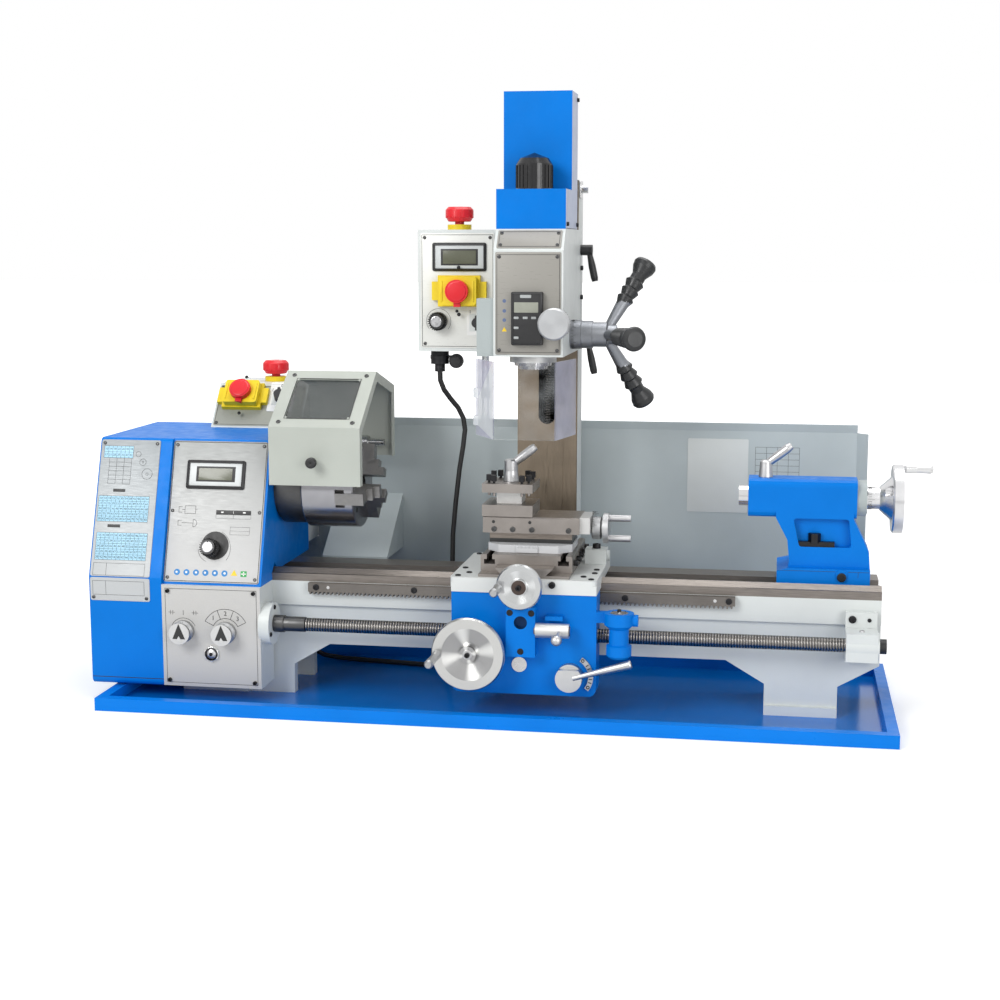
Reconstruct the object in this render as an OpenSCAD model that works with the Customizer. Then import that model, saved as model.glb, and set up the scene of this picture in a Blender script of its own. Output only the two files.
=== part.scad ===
// Benchtop metal lathe with a rear column that carries a drilling and milling head.
// Millimetres. +X runs from the headstock to the tailstock, +Y to the back, +Z up.
// The origin is the middle of the chip tray's underside, below the spindle line.

/* [Chip tray] */
// Length of the tray
tray_l = 1150; // [1100:5:1250]
// Depth of the tray from front to back
tray_w = 400; // [390:5:440]
// Height of the tray's rim
tray_h = 19; // [15:1:22]
// Width of the flat rim
tray_rim = 14; // [8:1:20]
// Thickness of the tray's sheet
tray_t = 2; // [1.5:0.5:3]

/* [Bed] */
// Width across the two rails
bed_w = 135; // [130:1:145]
// Height of the ways above the tray's floor
bed_h = 186; // [176:1:200]
// Left end of the bed from the tray's middle
bed_x0 = -490; // [-492:1:-480]
// Right end of the bed from the tray's middle
bed_x1 = 553; // [540:1:565]
// Depth of the rails
rail_h = 48; // [40:1:56]
// Width of the front rail
front_rail_w = 52; // [48:1:54]
// Width of the rear rail
rear_rail_w = 45; // [38:1:47]
// Thickness of the bed's side walls
bed_wall = 16; // [12:1:20]
// Clear height under the bed
arch_h = 78; // [60:1:90]
// Length of the right foot
foot_l = 104; // [90:1:115]
// Radius of the bench bolt holes in the feet
foot_hole_r = 6; // [4:0.5:8]

/* [Rack and leadscrew] */
// Pitch of the rack's teeth
rack_pitch = 6.3; // [5:0.1:8]
// Number of teeth on the rack
rack_teeth = 100; // [60:1:100]
// Radius of the leadscrew
leadscrew_r = 10; // [8:0.5:11]
// Height of the leadscrew above the tray's floor
leadscrew_h = 117; // [114:1:122]
// Distance of the leadscrew in front of the spindle line
leadscrew_y = 105; // [102:1:107]

/* [Headstock] */
// Height of the spindle line above the ways
centre_h = 125; // [120:1:130]
// Right face of the headstock from the tray's middle
head_x = -342.5; // [-350:0.5:-335]
// Length of the headstock
head_l = 151.5; // [145:0.5:160]
// Height of the headstock above the ways
head_h = 199; // [195:1:215]
// Depth of the headstock behind the spindle line
head_back = 130; // [122:1:134]
// Backward lean of the slanted front
front_lean = 66; // [50:1:75]
// Length of the end cover
cover_l = 113; // [95:1:125]
// Depth of the end cover behind the spindle line
cover_back = 176; // [150:1:185]
// Distance of the gearbox front from the spindle line
box_front = 130; // [128:1:136]
// Height of the feed gearbox
gearbox_h = 153; // [145:1:156]
// Radius of the spindle's journal
spindle_r = 26; // [22:0.5:30]
// Radius of the hole through the spindle
spindle_bore_r = 13; // [10:0.5:15]

/* [Chuck and guard] */
// Radius of the three jaw chuck
chuck_r = 62.5; // [55:0.5:65]
// Length of the chuck's body
chuck_l = 80; // [70:1:88]
// Width of a jaw
jaw_w = 18; // [14:1:20]
// Width of the chuck guard
guard_w = 138; // [125:1:145]
// Distance of the guard's front from the spindle line
guard_front = 95; // [90:1:100]
// Thickness of the guard's sheet
guard_t = 2; // [1.5:0.5:3]

/* [Electrics] */
// Height of the lathe's electrics box above the headstock
elec_h = 66; // [55:1:80]
// Distance of the electrics box's back from the spindle line
elec_back = 280; // [260:1:290]
// Width of the mill's control box
cbox_w = 120; // [110:1:124]
// Height of the mill's control box
cbox_h = 180; // [160:1:190]
// Depth of the mill's control box
cbox_d = 85; // [75:1:90]
// Radius of a speed knob
knob_r = 13.5; // [11:0.5:15]
// Radius of an emergency stop's cap
stop_r = 21; // [18:0.5:22]

/* [Carriage] */
// Middle of the carriage from the tray's middle
car_x = 48; // [44:1:52]
// Width of the saddle
saddle_w = 212; // [200:1:220]
// Thickness of the saddle over the ways
saddle_t = 15; // [12:1:18]
// Height of the apron
apron_h = 148; // [140:1:152]
// Radius of the carriage handwheel
car_wheel_r = 53; // [48:1:54]
// Radius of the cross slide handwheel
cross_wheel_r = 33; // [30:0.5:34]
// Width of the cross slide
cross_w = 134; // [130:1:140]
// Length of the cross slide
cross_l = 160; // [150:1:166]
// Width of a T slot
t_slot_w = 8; // [7:0.5:10]

/* [Top slide and tool post] */
// Width across the flats of the swivel base
swivel_w = 124; // [118:1:128]
// Length of the top slide
top_l = 142; // [136:1:146]
// Width of the top slide
top_w = 76; // [70:1:80]
// Thickness of the top slide
top_t = 24; // [22:1:27]
// Side of the square tool post
post_w = 75; // [68:1:77]
// Height of a tool slot
tool_slot_h = 18; // [14:1:20]

/* [Tailstock] */
// Left end of the tailstock's barrel housing
tail_x = 362; // [355:1:370]
// Length of the barrel housing
tail_l = 154.5; // [148:0.5:158]
// Side of the barrel housing
tail_w = 56; // [50:1:58]
// Radius of the quill
quill_r = 15; // [13:0.5:16]
// Radius of the tailstock handwheel
tail_wheel_r = 49.5; // [45:0.5:52]

/* [Splash guard] */
// Height of the splash guard above the rim
splash_h = 380; // [340:5:384]
// Thickness of the splash guard's sheet
splash_t = 1.5; // [1:0.5:2]

/* [Mill column] */
// Middle of the column from the tray's middle
mill_x = 49; // [47:1:51]
// Width of the column
column_w = 92; // [84:1:93]
// Front of the column's slideway from the spindle line
column_y = 107; // [106:1:110]
// Depth of the column's dovetail
way_d = 18; // [16:1:22]
// Height of the column's top above the tray's underside
column_top = 772; // [768:1:790]
// Radius of the lifting screw
lift_r = 8; // [7:0.5:9]

/* [Mill head] */
// Width of the mill head
mill_w = 100; // [98:1:104]
// Height of the mill head
mill_h = 180; // [176:1:186]
// Underside of the mill head above the tray's underside
mill_z = 517; // [515:1:525]
// Distance of the mill head's front from the spindle line
mill_front = 90; // [86:1:94]
// Distance of the mill spindle from the lathe's spindle line
mill_reach = 40; // [38:1:42]
// Radius of the mill's quill
mquill_r = 27; // [25:0.5:28]
// Height of the tall drive cover above the head
drive_h = 197; // [180:1:205]
// Radius of the mill motor
motor_r = 26; // [23:1:28]
// Radius of the feed hub's dial
dial_r = 21; // [19:0.5:23]
// Radius of the fine feed knob
fine_r = 22.5; // [20:0.5:24]
// Height of the clear mill guard
mguard_h = 110; // [95:1:112]

/* [Hidden] */
$fn = 48;

// Shared clearances, cut overrun and stock
fit = 0.05;
gap = 0.3;
cut = 2;
arc_steps = 4;

// Levels that every piece follows
floor_z = tray_t;
way_z = floor_z + bed_h;
axis_z = way_z + centre_h;
rail_z = way_z - rail_h;
screw_z = floor_z + leadscrew_h;
head_top = way_z + head_h;

// Small parts of the bed
foot_right_x = 391;
foot_inset = 3;
foot_left_x0 = bed_x0 + foot_inset;
bed_step = 6;
foot_left_x1 = -312;
haunch_l = 56;
haunch_h = 33;
ridge_y = -54;
ridge_w = 16;
ridge_h = 7;
rib_t = 10;
rib_count = 6;
foot_pad_t = 14;
foot_hole_y = 30;
rack_x = -284;
rack_h = 17;
rack_t = 11;
rack_drop = 12;
tooth_h = 4;
hanger_x0 = 503;
hanger_x1 = 547;
hanger_h = 72;
hanger_d = 18;
hanger_plate_t = 14;
hanger_block_h = 40;
end_cap_l = 12;
end_cap_r = 10.5;

// Small parts of the headstock end
head_base_d = 124;
cover_edge_r = 9;
cover_z = 22;
cover_bend_z = 186;
gearbox_z = 24;
head_low = gearbox_z + gearbox_h;
speed_knob_z = 229;
speed_knob_in = 79.5;
spindle_tail_r = 20;
feed_knob_r = 16.5;
feed_knob_l = 21;
feed_knob_z = 108;
direction_in = 118.5;
direction_x = head_x - direction_in;
range_in = 53.5;
range_x = head_x - range_in;
sight_r = 11;
sight_t = 2;
sight_in = 75.5;
sight_x = head_x - sight_in;
sight_z = 75;
flange_r = 31;
screw_in = 22;
flange_l = 14;
nose_flange_r = 52;
nose_flange_l = 6;
back_plate_l = 38;
back_plate_r = 58;
chuck_hole_r = 18;
chuck_edge = 2;
jaw_phase = 71;
jaw_in = 14;
jaw_step_l = 16.5;
jaw_step_h = 12;
jaw_root = 27;
jaw_tip = 16;
tongue_t = 5;

// Places on the chuck guard
guard_off = 7;
guard_x0 = head_x + guard_off;
guard_x1 = guard_x0 + guard_w;
guard_low = 12;
guard_bend = 98;
guard_ridge_y = 12;
guard_ridge = 173;
guard_rear_y = 128;
guard_rear = 143;
guard_foot = 32;
guard_flange = 14;
hinge_y = 116;
hinge_up = 53;
hinge_z = axis_z + hinge_up;
hinge_r = 5;
knuckle_r = 10;
window_gap = 20;
window_r = 7;
window_t = 3;
knob_stem_r = 4;
guard_knob_r = 8;
guard_knob_l = 22;

// Places on the electrics
elec_y = 101;
elec_slope = 52;
elec_low = 12;
elec_inset = 1.5;
elec_share = [0.69, 0.67];
switch_l = 82;
switch_w = 46;
switch_base_t = 9;
ear_share = [0.6, 0.78];
lid_l = 56;
lid_w = 42;
lid_t = 12;
mushroom_r = 17;
mushroom_t = 9;
tab_w = 10;
tab_l = 23;
stop_collar_r = 18;
stop_collar_h = 8;
stop_cap_h = 22;
stop_travel = 4;
stem_r = 7;
rotary_r = 9;
rotary_l = 15;
rotary_plate = 26;
rotary_plate_t = 2;
knob_l = 18;
cbox_x1 = -14;
cbox_y = 20;
cbox_arm_t = 8;
cswitch_share = [0.03, 0];
cknob_share = [-0.24, -0.25];
crotary_share = [0.26, -0.26];
cstop_share = 0.54;

// Places on the carriage
saddle_z = way_z + fit;
saddle_top = saddle_z + saddle_t;
saddle_front = -box_front;
saddle_drop = 6;
saddle_back = bed_w / 2;
plateau_w = 132;
plateau_h = 4;
tail_flare = 10;
cross_way_h = 10;
cross_way_w = 84;
cross_z = saddle_top + plateau_h + fit;
cross_t = 24;
cross_y0 = -95;
t_slot_x = 54;
t_slot_deep = 14;
t_head_w = 16;
t_head_h = 7;
lock_block_l = 32;
lock_block_w = 30;
lock_block_h = 22;
cross_screw_drop = 5;
cross_screw_z = saddle_top - cross_screw_drop;
cross_screw_r = 7;
apron_inset = 2;
apron_x0 = car_x - saddle_w / 2 + apron_inset;
apron_x1 = car_x + saddle_w / 2;
apron_z1 = way_z - saddle_drop;
apron_z0 = apron_z1 - apron_h;
apron_y0 = saddle_front + apron_inset;
rack_gap = 4.5;
apron_y1 = -bed_w / 2 - rack_t - rack_gap;
boss_w = 42;
boss_d = 22;
boss_x1 = car_x + boss_w / 2;
boss_h = 72;
boss_up = 60;
boss_z = apron_z0 + boss_up;
boss_bore_r = 9.5;
rest_off = 34;
rest_x = car_x + rest_off;
rest_up = 52;
rest_z = boss_z + rest_up;
rest_l = 25;
rest_t = 6;
car_wheel_off = 73;
car_wheel_x = car_x - car_wheel_off;
car_wheel_z = 99;
wheel_hub_r = 12;
wheel_handle_r = 6.5;
car_handle_l = 68;
cross_handle_l = 46;
half_nut_off = 69;
half_nut_x = car_x + half_nut_off;
half_nut_z = 64;
half_nut_r = 19;
feed_sleeve_r = 10.5;
feed_sleeve_l = 50;
feed_sleeve_y = -145;
feed_sleeve_z = 133;
dial_post_y = -134;
dial_post_off = 33;
dial_post_x = apron_x1 + dial_post_off;
dial_head_r = 21;
dial_neck_r = 14;
dial_foot_r = 18;
dial_face_r = 13;
dial_shaft_r = 5;
dial_top_z = 160;
dial_foot_z = 95;

// Places on the top slide and the tool post
swivel_y = -22;
swivel_d = 106;
swivel_corner = 18;
swivel_x = car_x;
swivel_t = 11;
swivel_z = cross_z + cross_t;
post_off = 34;
post_x = car_x - post_off;
top_off = 70;
top_x0 = car_x - top_off;
top_base_h = 15;
top_z = swivel_z + swivel_t + top_base_h;
top_way_w = 44;
top_way_h = 9;
top_top = top_z + top_t;
top_base_l = 122;
top_base_w = 60;
top_screw_up = 5;
top_screw_z = top_z + top_screw_up;
top_screw_r = 4;
bearing_l = 15;
bearing_w = 30;
collar_l = 15;
collar_r = 17;
ball_disc_l = 10;
ball_disc_r = 22.5;
rod_handle_l = 34;
rod_handle_r = 5;
rod_offset = 15;
post_z = top_top + fit;
post_base_h = 17;
post_core_w = 37;
post_cap_h = 13;
post_screw_r = 4;
post_head_r = 5.2;
post_screw_h = 9;
post_stud_r = 8;
post_stud_h = 6;
lever_hub_r = 10;
lever_hub_h = 30;
lever_l = 46;
lever_r = 6.5;
lever_rise_deg = 38;

// Places on the tailstock
tail_base_x0 = 405;
tail_base_x1 = 537;
tail_base_front = 40;
tail_base_h = 26;
tail_base_back = 62;
tail_z = way_z + fit;
tail_split = tail_z + tail_base_h;
tail_half = 28;
tail_drop = 22;
tail_cap_l = 14;
tail_collar_l = 18;
tail_collar_r = 16;
tail_hub_l = 15;
tail_rim_w = 17;
tail_rim_t = 8;
quill_out = 14;
quill_bore_r = 9;
clamp_nut_r = 9;
clamp_nut_h = 14;
clamp_plate_l = 57;
clamp_plate_h = 7;
clamp_bolt_r = 6;
shoe_t = 8;
lock_in = 24;
lock_x = tail_x + lock_in;
lock_hub_r = 8.5;
lock_hub_h = 24;

// Places on the splash guard
splash_y = 195;
splash_off = 3;
splash_x0 = head_x + splash_off;
splash_x1 = 524;
splash_return = 16;
lip_h = 13;
lip_d = 5;
chute_x0 = -305;
chute_x1 = -200;
chute_h = 87;
chute_front = 80;
chute_foot = 2;

// Places on the column and the head
column_d = 55;
undercut = 9;
land_w = 50;
land_t = 1;
foot_w = 120;
foot_drop = 3;
foot_top = way_z - foot_drop;
slot_w = 26;
slot_z0 = 401;
slot_z1 = 742;
slot_d = 34;
lift_in = 18;
lift_y = column_y + lift_in;
lift_shaft_y = 145;
lift_shaft_drop = 13;
lift_shaft_z = column_top - lift_shaft_drop;
lift_shaft_r = 7;
crank_end_r = 6;
relief = 1;
lift_shaft_l = 44;
lift_shaft_out = 10;
nut_h = 30;
nut_w = 22;
head_y1 = column_y + way_d - gap;
head_top_z = mill_z + mill_h;
name_h = 30;
name_back = 24;
drive_front = 66;
drive_back = 66;
drive_step = 56;
motor_h = 44;
motor_dome = 8;
motor_y = -33;
motor_fins = 12;
fin_d = 2;
collar_h = 10;
quill_ring_r = 34;
quill_nose = 10;
mill_axle_r = 15;
mill_nose_r = 21;
mill_nose_h = 5;
taper_r = 9;
hub_up = 28;
hub_z = mill_z + hub_up;
dial_l = 32;
hub_l = 21;
hub_r = 18;
hub_shaft_r = 9;
hub_shaft_l = 38;
clutch_neck_r = 9;
clutch_r = 14;
clutch_l = 12;
spoke_lean_deg = 25;
spoke_l = 38;
spoke_r = 6;
grip_l = 76;
grip_r = 17.5;
fine_off = 41;
fine_x = mill_x + fine_off;
fine_up = 48;
fine_z = mill_z + fine_up;
fine_l = 18;
fine_neck_l = 9;
fine_shaft_r = 6;
head_lock_in = 6;
lock_y = column_y + head_lock_in;
lock_drop = 30;
lock_upper_z = head_top_z - lock_drop;
lock_up = 9;
lock_lower_z = mill_z + lock_up;
lock_stud_r = 4;
lock_stud_l = (mill_w - column_w) / 2 - gap;
lock_boss_r = 8;
lock_boss_l = 18;
lock_arm_l = 48;
lock_arm_r0 = 5.5;
lock_arm_r1 = 3.5;
lock_arm_deg = 12;
bracket_w = 25;
bracket_d = 32;
bracket_h = 82;
pivot_off = 15;
pivot_x = mill_x - mill_w / 2 - pivot_off;
pivot_y = -70;
pivot_r = 5;
mguard_drop = 5;
mguard_z1 = mill_z - mguard_drop;
mguard_z0 = mguard_z1 - mguard_h;
mguard_t = 3;
mguard_left_out = 16;
mguard_left_in = 8;
mguard_left = [pivot_x - mguard_left_out, pivot_y + mguard_left_in];
mguard_front_y = -125;
mguard_half = 45;
mguard_right_out = 63;
mguard_right_y = -40;
mguard_right = [mill_x + mguard_right_out, mguard_right_y];
band_h = 14;
band_w = 10;

// Shares of a size, and the wheels' small parts
grip_share = 0.8;
hanger_drop_share = 0.42;
bulb_shares = [[0, 0.55], [0.12, 0.74], [0.17, 0.56], [0.31, 0.78], [0.36, 0.6], [0.5, 0.82], [0.55, 0.64],
  [0.68, 0.62], [0.84, 0.94], [0.93, 1], [0.98, 0.9], [1, 0.62]];
handle_share = 0.85;
cross_share = 0.8;
post_share = 0.55;
wheel_share = 0.56;
quill_share = 0.7;
switch_plate_t = 2.5;
rim_t = 7;
car_rim_w = 15;
car_dish = 6;
car_wheel_y = 157;
cross_rim_w = 9;
cross_wheel_y = 158;
half_nut_l = 86;
half_nut_deg = 16;
rod_r0 = 4;
rod_r1 = 6.5;
feed_lever_l = 34;
feed_lever_deg = -10;
ball_r = 8;
tail_recess = 12;
waist_shares = [[0.26, 1], [0.37, 0.55], [0.39, 0.12]];
heel_share = 0.35;
recess_shares = [[0.48, 0.42], [0.96, 0.42], [0.93, 1], [0.42, 1]];
clamp_share = 0.62;
barrel_share = 0.4;
tail_handle_l = 46;
spoke_phase = 30;

// Route of the control box's lead, its thickness and its socket
lead_x = -110;
lead_y = 62;
lead_r = 4;
lead_sides = 8;
socket_r = 14;
socket_h = 14;
dust_cap_r = 11;
dust_cap_t = 6;
dust_cap_x = -84;
gland_r = 9;
gland_h = 14;
gland_x = -380;
gland_y = 165;
lead_route = [[-110, 62, 484], [-110, 64, 470], [-106, 72, 455], [-98, 84, 440], [-88, 94, 425],
  [-81, 100, 408], [-79, 102, 390], [-82, 102, 365], [-88, 102, 328], [-94, 102, 277],
  [-99, 102, 223], [-100, 102, 170], [-101, 102, 120], [-102, 102, 80], [-104, 104, 50],
  [-110, 108, 27], [-124, 114, 12], [-145, 120, 7], [-175, 126, 6.5], [-210, 131, 6.5],
  [-250, 136, 6.5], [-290, 142, 6.5], [-325, 149, 9], [-352, 156, 20], [-369, 161, 42],
  [-377, 164, 75], [-380, 165, 110], [-380, 165, 150], [-380, 165, 186]];

// Outline helpers: a corner's arc, a rounded outline and a bent sheet
function unit(v) = v / norm(v);
function arc_at(a, b, c, r) = let (
    u = unit(a - b),
    w = unit(c - b),
    h = acos(u * w) / 2,
    m = b + unit(u + w) * r / sin(h),
    s = b + u * r / tan(h) - m,
    e = b + w * r / tan(h) - m)
  [for (i = [0:arc_steps]) m + r * unit(s * (arc_steps - i) + e * i)];
function rounded(p, r) = let (k = len(p))
  [for (i = [0:k - 1]) each arc_at(p[(i + k - 1) % k], p[i], p[(i + 1) % k], r)];
function side_of(a, b) = unit([a.y - b.y, b.x - a.x]);
function sheet_point(p, i, t) = let (
    k = len(p) - 1,
    n = side_of(p[max(i - 1, 0)], p[max(i, 1)]),
    m = side_of(p[min(i, k - 1)], p[min(i + 1, k)]),
    d = unit(n + m))
  p[i] + d * t / (d * n);
function sheet(p, t) = concat(p, [for (i = [len(p) - 1:-1:0]) sheet_point(p, i, t)]);

// Shape helpers: outlines drawn out along an axis, rods, and a block between two corners
module along_x(x0, x1) translate([x0, 0, 0]) rotate([90, 0, 90]) linear_extrude(x1 - x0) children();
module along_y(y0, y1) translate([0, y1, 0]) rotate([90, 0, 0]) linear_extrude(y1 - y0) children();
module along_z(z0, z1) translate([0, 0, z0]) linear_extrude(z1 - z0) children();
module rod_x(x0, x1, y, z, r) translate([x0, y, z]) rotate([0, 90, 0]) cylinder(h = x1 - x0, r = r);
module rod_y(y0, y1, x, z, r) translate([x, y0, z]) rotate([-90, 0, 0]) cylinder(h = y1 - y0, r = r);
module rod_z(z0, z1, x, y, r) translate([x, y, z0]) cylinder(h = z1 - z0, r = r);
module block(a, b) translate(a) cube(b - a);
module on_front(p, lean) translate(p) rotate([90 - lean, 0, 0]) children();

// Chip tray: a folded sheet pan with a flat rim and a skirt
module chip_tray() {
  l = tray_l / 2;
  w = tray_w / 2;
  in = tray_rim + tray_t;
  color("dodgerblue") difference() {
    block([-l, -w, 0], [l, w, tray_h]);
    block([-l + in, -w + in, floor_z], [l - in, w - in, tray_h + cut]);
    difference() {
      block([-l + tray_t, -w + tray_t, -cut], [l - tray_t, w - tray_t, tray_h - tray_t]);
      block([-l + tray_rim, -w + tray_rim, -cut * 2], [l - tray_rim, w - tray_rim, tray_h]);
    }
    bench_holes(-cut, floor_z + cut);
  }
}

module bench_holes(z0, z1) {
  for (x = [foot_left_x0 + foot_l / 2, foot_right_x + foot_l / 2], y = [-foot_hole_y, foot_hole_y])
    rod_z(z0, z1, x, y, foot_hole_r);
}

// Bed: two walls on feet, joined by ribs, with a ridged front rail and a flat rear rail
module bed_side() {
  belly = floor_z + arch_h;
  right = foot_right_x + foot_l;
  polygon([[foot_left_x0, floor_z], [foot_left_x1, floor_z], [foot_left_x1, belly - haunch_h],
    [foot_left_x1 + haunch_l, belly], [foot_right_x - haunch_l, belly],
    [foot_right_x, belly - haunch_h], [foot_right_x, floor_z], [right, floor_z],
    [right, belly - haunch_h], [bed_x1, belly], [bed_x1, rail_z + cut],
    [bed_x0, rail_z + cut], [bed_x0, belly - haunch_h], [foot_left_x0, belly - haunch_h]]);
}

module bed() {
  w = bed_w / 2;
  color("gainsboro") difference() {
    union() {
      along_y(-w + bed_step, -w + bed_step + bed_wall) bed_side();
      along_y(w - bed_step - bed_wall, w - bed_step) bed_side();
      block([bed_x0, -w, rail_z], [bed_x1, -w + front_rail_w, way_z]);
      block([bed_x0, w - rear_rail_w, rail_z], [bed_x1, w, way_z]);
      along_x(bed_x0, bed_x1) polygon([[ridge_y - ridge_w / 2, way_z],
        [ridge_y, way_z + ridge_h], [ridge_y + ridge_w / 2, way_z]]);
      for (x = [foot_left_x0, foot_right_x])
        block([x, -w, floor_z], [x + foot_l, w, floor_z + foot_pad_t]);
      bed_ribs(w - bed_step - bed_wall / 2);
      hanger(w);
    }
    bench_holes(floor_z - cut, floor_z + foot_pad_t + cut);
    rod_x(hanger_x0 - cut, hanger_x1 + cut, -leadscrew_y, screw_z, leadscrew_r + fit);
  }
}

module bed_ribs(w) {
  reach = foot_right_x - foot_left_x1;
  z0 = floor_z + arch_h;
  for (i = [0:rib_count]) let (x = foot_left_x1 + reach * i / rib_count)
    block([x - rib_t / 2, -w, z0], [x + rib_t / 2, w, rail_z - shoe_t - cut * 2]);
}

// The leadscrew's end bearing, bolted to the front of the bed
module hanger(w) {
  z = screw_z - hanger_h * hanger_drop_share;
  h = hanger_block_h / 2;
  block([hanger_x0, -w - hanger_plate_t, z], [hanger_x1, -w + rib_t, z + hanger_h]);
  block([hanger_x0, -leadscrew_y - hanger_d, screw_z - h], [hanger_x1, -w, screw_z + h]);
  rod_x(hanger_x0, hanger_x1 + cut, -leadscrew_y, screw_z, leadscrew_r + hanger_d / 2);
}

// Rack: teeth face down under the front rail
module rack() {
  z = way_z - rack_drop;
  half = rack_pitch / 2;
  w = bed_w / 2;
  teeth_shares = [[0, 0], [0.12, 1], [0.38, 1], [0.5, 0]];
  low = z - rack_h;
  color("dimgray") along_y(-w - rack_t, -w) polygon(concat(
    [[rack_x, z], [rack_x, low + tooth_h]],
    [for (i = [0:rack_teeth - 1], s = teeth_shares)
      [rack_x + half / 2 + (i + s.x) * rack_pitch, low + tooth_h * (1 - s.y)]],
    [[rack_x + half / 2 + rack_teeth * rack_pitch, low + tooth_h],
     [rack_x + half / 2 + rack_teeth * rack_pitch, z]]));
}

// Headstock casting with a slanted front, bored for the spindle, with the guard's hinge rod
module headstock() {
  x0 = head_x - head_l;
  front = -head_base_d;
  color("royalblue") {
    difference() {
      along_x(x0, head_x) polygon([[-bed_w / 2, head_low], [-bed_w / 2, way_z], [head_back, way_z],
        [head_back, head_top], [front + front_lean, head_top], [front, head_low]]);
      rod_x(x0 - cut, head_x + cut, 0, axis_z, spindle_r + fit);
      panel_face(speed_knob_z) rod_z(-flange_l, cut, 0, 0, stem_r / 2 + fit);
      along_x(x0 - cut, head_x + cut) polygon([[ridge_y - ridge_w, way_z - cut],
        [ridge_y, way_z + ridge_w - cut], [ridge_y + ridge_w, way_z - cut]]);
    }
    rod_x(head_x - rib_t, guard_x1 - guard_flange, hinge_y, hinge_z, hinge_r);
  }
}

// The slanted front, level with a height on it
function front_y(z) = -head_base_d + front_lean * (z - head_low) / (head_top - head_low);
function head_lean() = atan(front_lean / (head_top - head_low));
module panel_face(z) on_front([head_x - speed_knob_in, front_y(z), z], head_lean()) children();

// Feed gearbox on the front of the bed, with an oil sight and the leadscrew's flange
module gearbox() {
  x0 = head_x - head_l;
  w = bed_w / 2;
  color("gainsboro") difference() {
    union() {
      block([x0, -box_front, gearbox_z], [head_x, -w, gearbox_z + gearbox_h]);
      rod_x(head_x - cut, head_x + flange_l, -leadscrew_y, screw_z, flange_r);
      rod_y(-box_front - sight_t, -box_front, sight_x, sight_z, sight_r);
    }
    rod_x(head_x - screw_in, head_x + flange_l + cut, -leadscrew_y, screw_z, leadscrew_r + fit);
    for (x = [direction_x, range_x])
      rod_y(-box_front - cut, -box_front + flange_l + cut, x, feed_knob_z, stem_r + fit);
    rod_y(-box_front - sight_t - cut, -box_front - sight_t / 2, sight_x, sight_z, sight_r - sight_t);
  }
}

// End cover over the belts and change gears
module end_cover() {
  x1 = head_x - head_l;
  front = -box_front;
  top = head_top;
  outline = [[front, cover_z], [cover_back, cover_z], [cover_back, top],
    [front + front_lean, top], [front, cover_bend_z]];
  color("royalblue") difference() {
    along_x(x1 - cover_l, x1) polygon(rounded(outline, cover_edge_r));
    rod_x(x1 - cover_l - cut, x1 + cut, 0, axis_z, spindle_tail_r + cut);
  }
}

// Splash guard: a bent sheet with a top lip, a right return and a chip chute behind the chuck
module splash_guard() {
  z0 = tray_h;
  z1 = z0 + splash_h;
  plan = [[splash_x1 + splash_return, splash_y - splash_return], [splash_x1, splash_y],
    [splash_x0, splash_y]];
  lip = [[splash_y, z1 - lip_h - cut], [splash_y, z1 - lip_h], [splash_y - lip_d, z1]];
  foot = way_z - cut;
  chute = [[splash_y, foot + chute_h], [chute_front, foot + chute_foot], [chute_front, foot]];
  color("lightsteelblue") {
    along_z(z0, z1 - lip_h) polygon(sheet(plan, splash_t));
    along_x(splash_x0, splash_x1) polygon(sheet(lip, splash_t));
    along_x(chute_x0, chute_x1) polygon(sheet(chute, -splash_t));
    for (x = [chute_x0, chute_x1 - splash_t])
      along_x(x, x + splash_t) polygon(concat(chute, [[splash_y, foot]]));
  }
}

// Electrics box behind and above the headstock, with a slanted front
module electrics_box() {
  x0 = head_x - head_l + elec_inset;
  top = head_top + elec_h;
  back = head_back + elec_inset;
  low = way_z + elec_low;
  color("gainsboro") {
    difference() {
      along_x(x0, head_x - elec_inset) polygon([[elec_y, head_top], [back, head_top], [back, low],
        [elec_back, low], [elec_back, top], [elec_y + elec_slope, top]]);
      elec_face() translate([rotary_dx(), 0, 0])
        rod_z(-flange_l, cut, 0, 0, stem_r / 2 + fit);
      stop_bore(stop_place(), -flange_l - stop_travel);
    }
    elec_face() translate([rotary_dx(), 0, 0]) rotary_seat();
    rod_z(low - gland_h, low, gland_x, gland_y, gland_r);
  }
}

function elec_lean() = atan(elec_slope / elec_h);
function elec_mid() = [head_x - head_l * elec_share.x, elec_y + elec_slope * elec_share.y,
  head_top + elec_h * elec_share.y];
function rotary_dx() = switch_l / 2 + rotary_plate / 2 + cut * 3;
function stop_place() = [head_x - head_l / 2, (elec_y + elec_slope + elec_back) / 2, head_top + elec_h];
module elec_face() on_front(elec_mid(), elec_lean()) children();
module stop_bore(p, z) translate(p) rod_z(z, cut, 0, 0, stem_r + fit);

module rotary_seat() {
  difference() {
    block([-rotary_plate / 2, -rotary_plate / 2, 0], [rotary_plate / 2, rotary_plate / 2, rotary_plate_t]);
    rod_z(-cut, rotary_plate_t + cut, 0, 0, stem_r / 2 + fit);
  }
}

// Yellow parts that stay put: the two switch bases and the two stop collars
module switch_housings() {
  color("gold") {
    elec_face() switch_base();
    cbox_face() translate(cswitch_at()) switch_base();
    translate(stop_place()) stop_collar();
    translate(cstop_place()) stop_collar();
  }
}

module switch_base() {
  l = switch_l / 2;
  w = switch_w / 2;
  ear = w * ear_share.x;
  in = l * ear_share.y;
  outline = [[-in, -w], [in, -w], [in, -ear], [l, -ear], [l, ear], [in, ear], [in, w], [-in, w],
    [-in, ear], [-l, ear], [-l, -ear], [-in, -ear]];
  along_z(0, switch_base_t) polygon(outline);
}

module stop_collar() {
  difference() {
    cylinder(h = stop_collar_h, r = stop_collar_r);
    rod_z(-cut, stop_collar_h + cut, 0, 0, stem_r + fit);
  }
}

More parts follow.
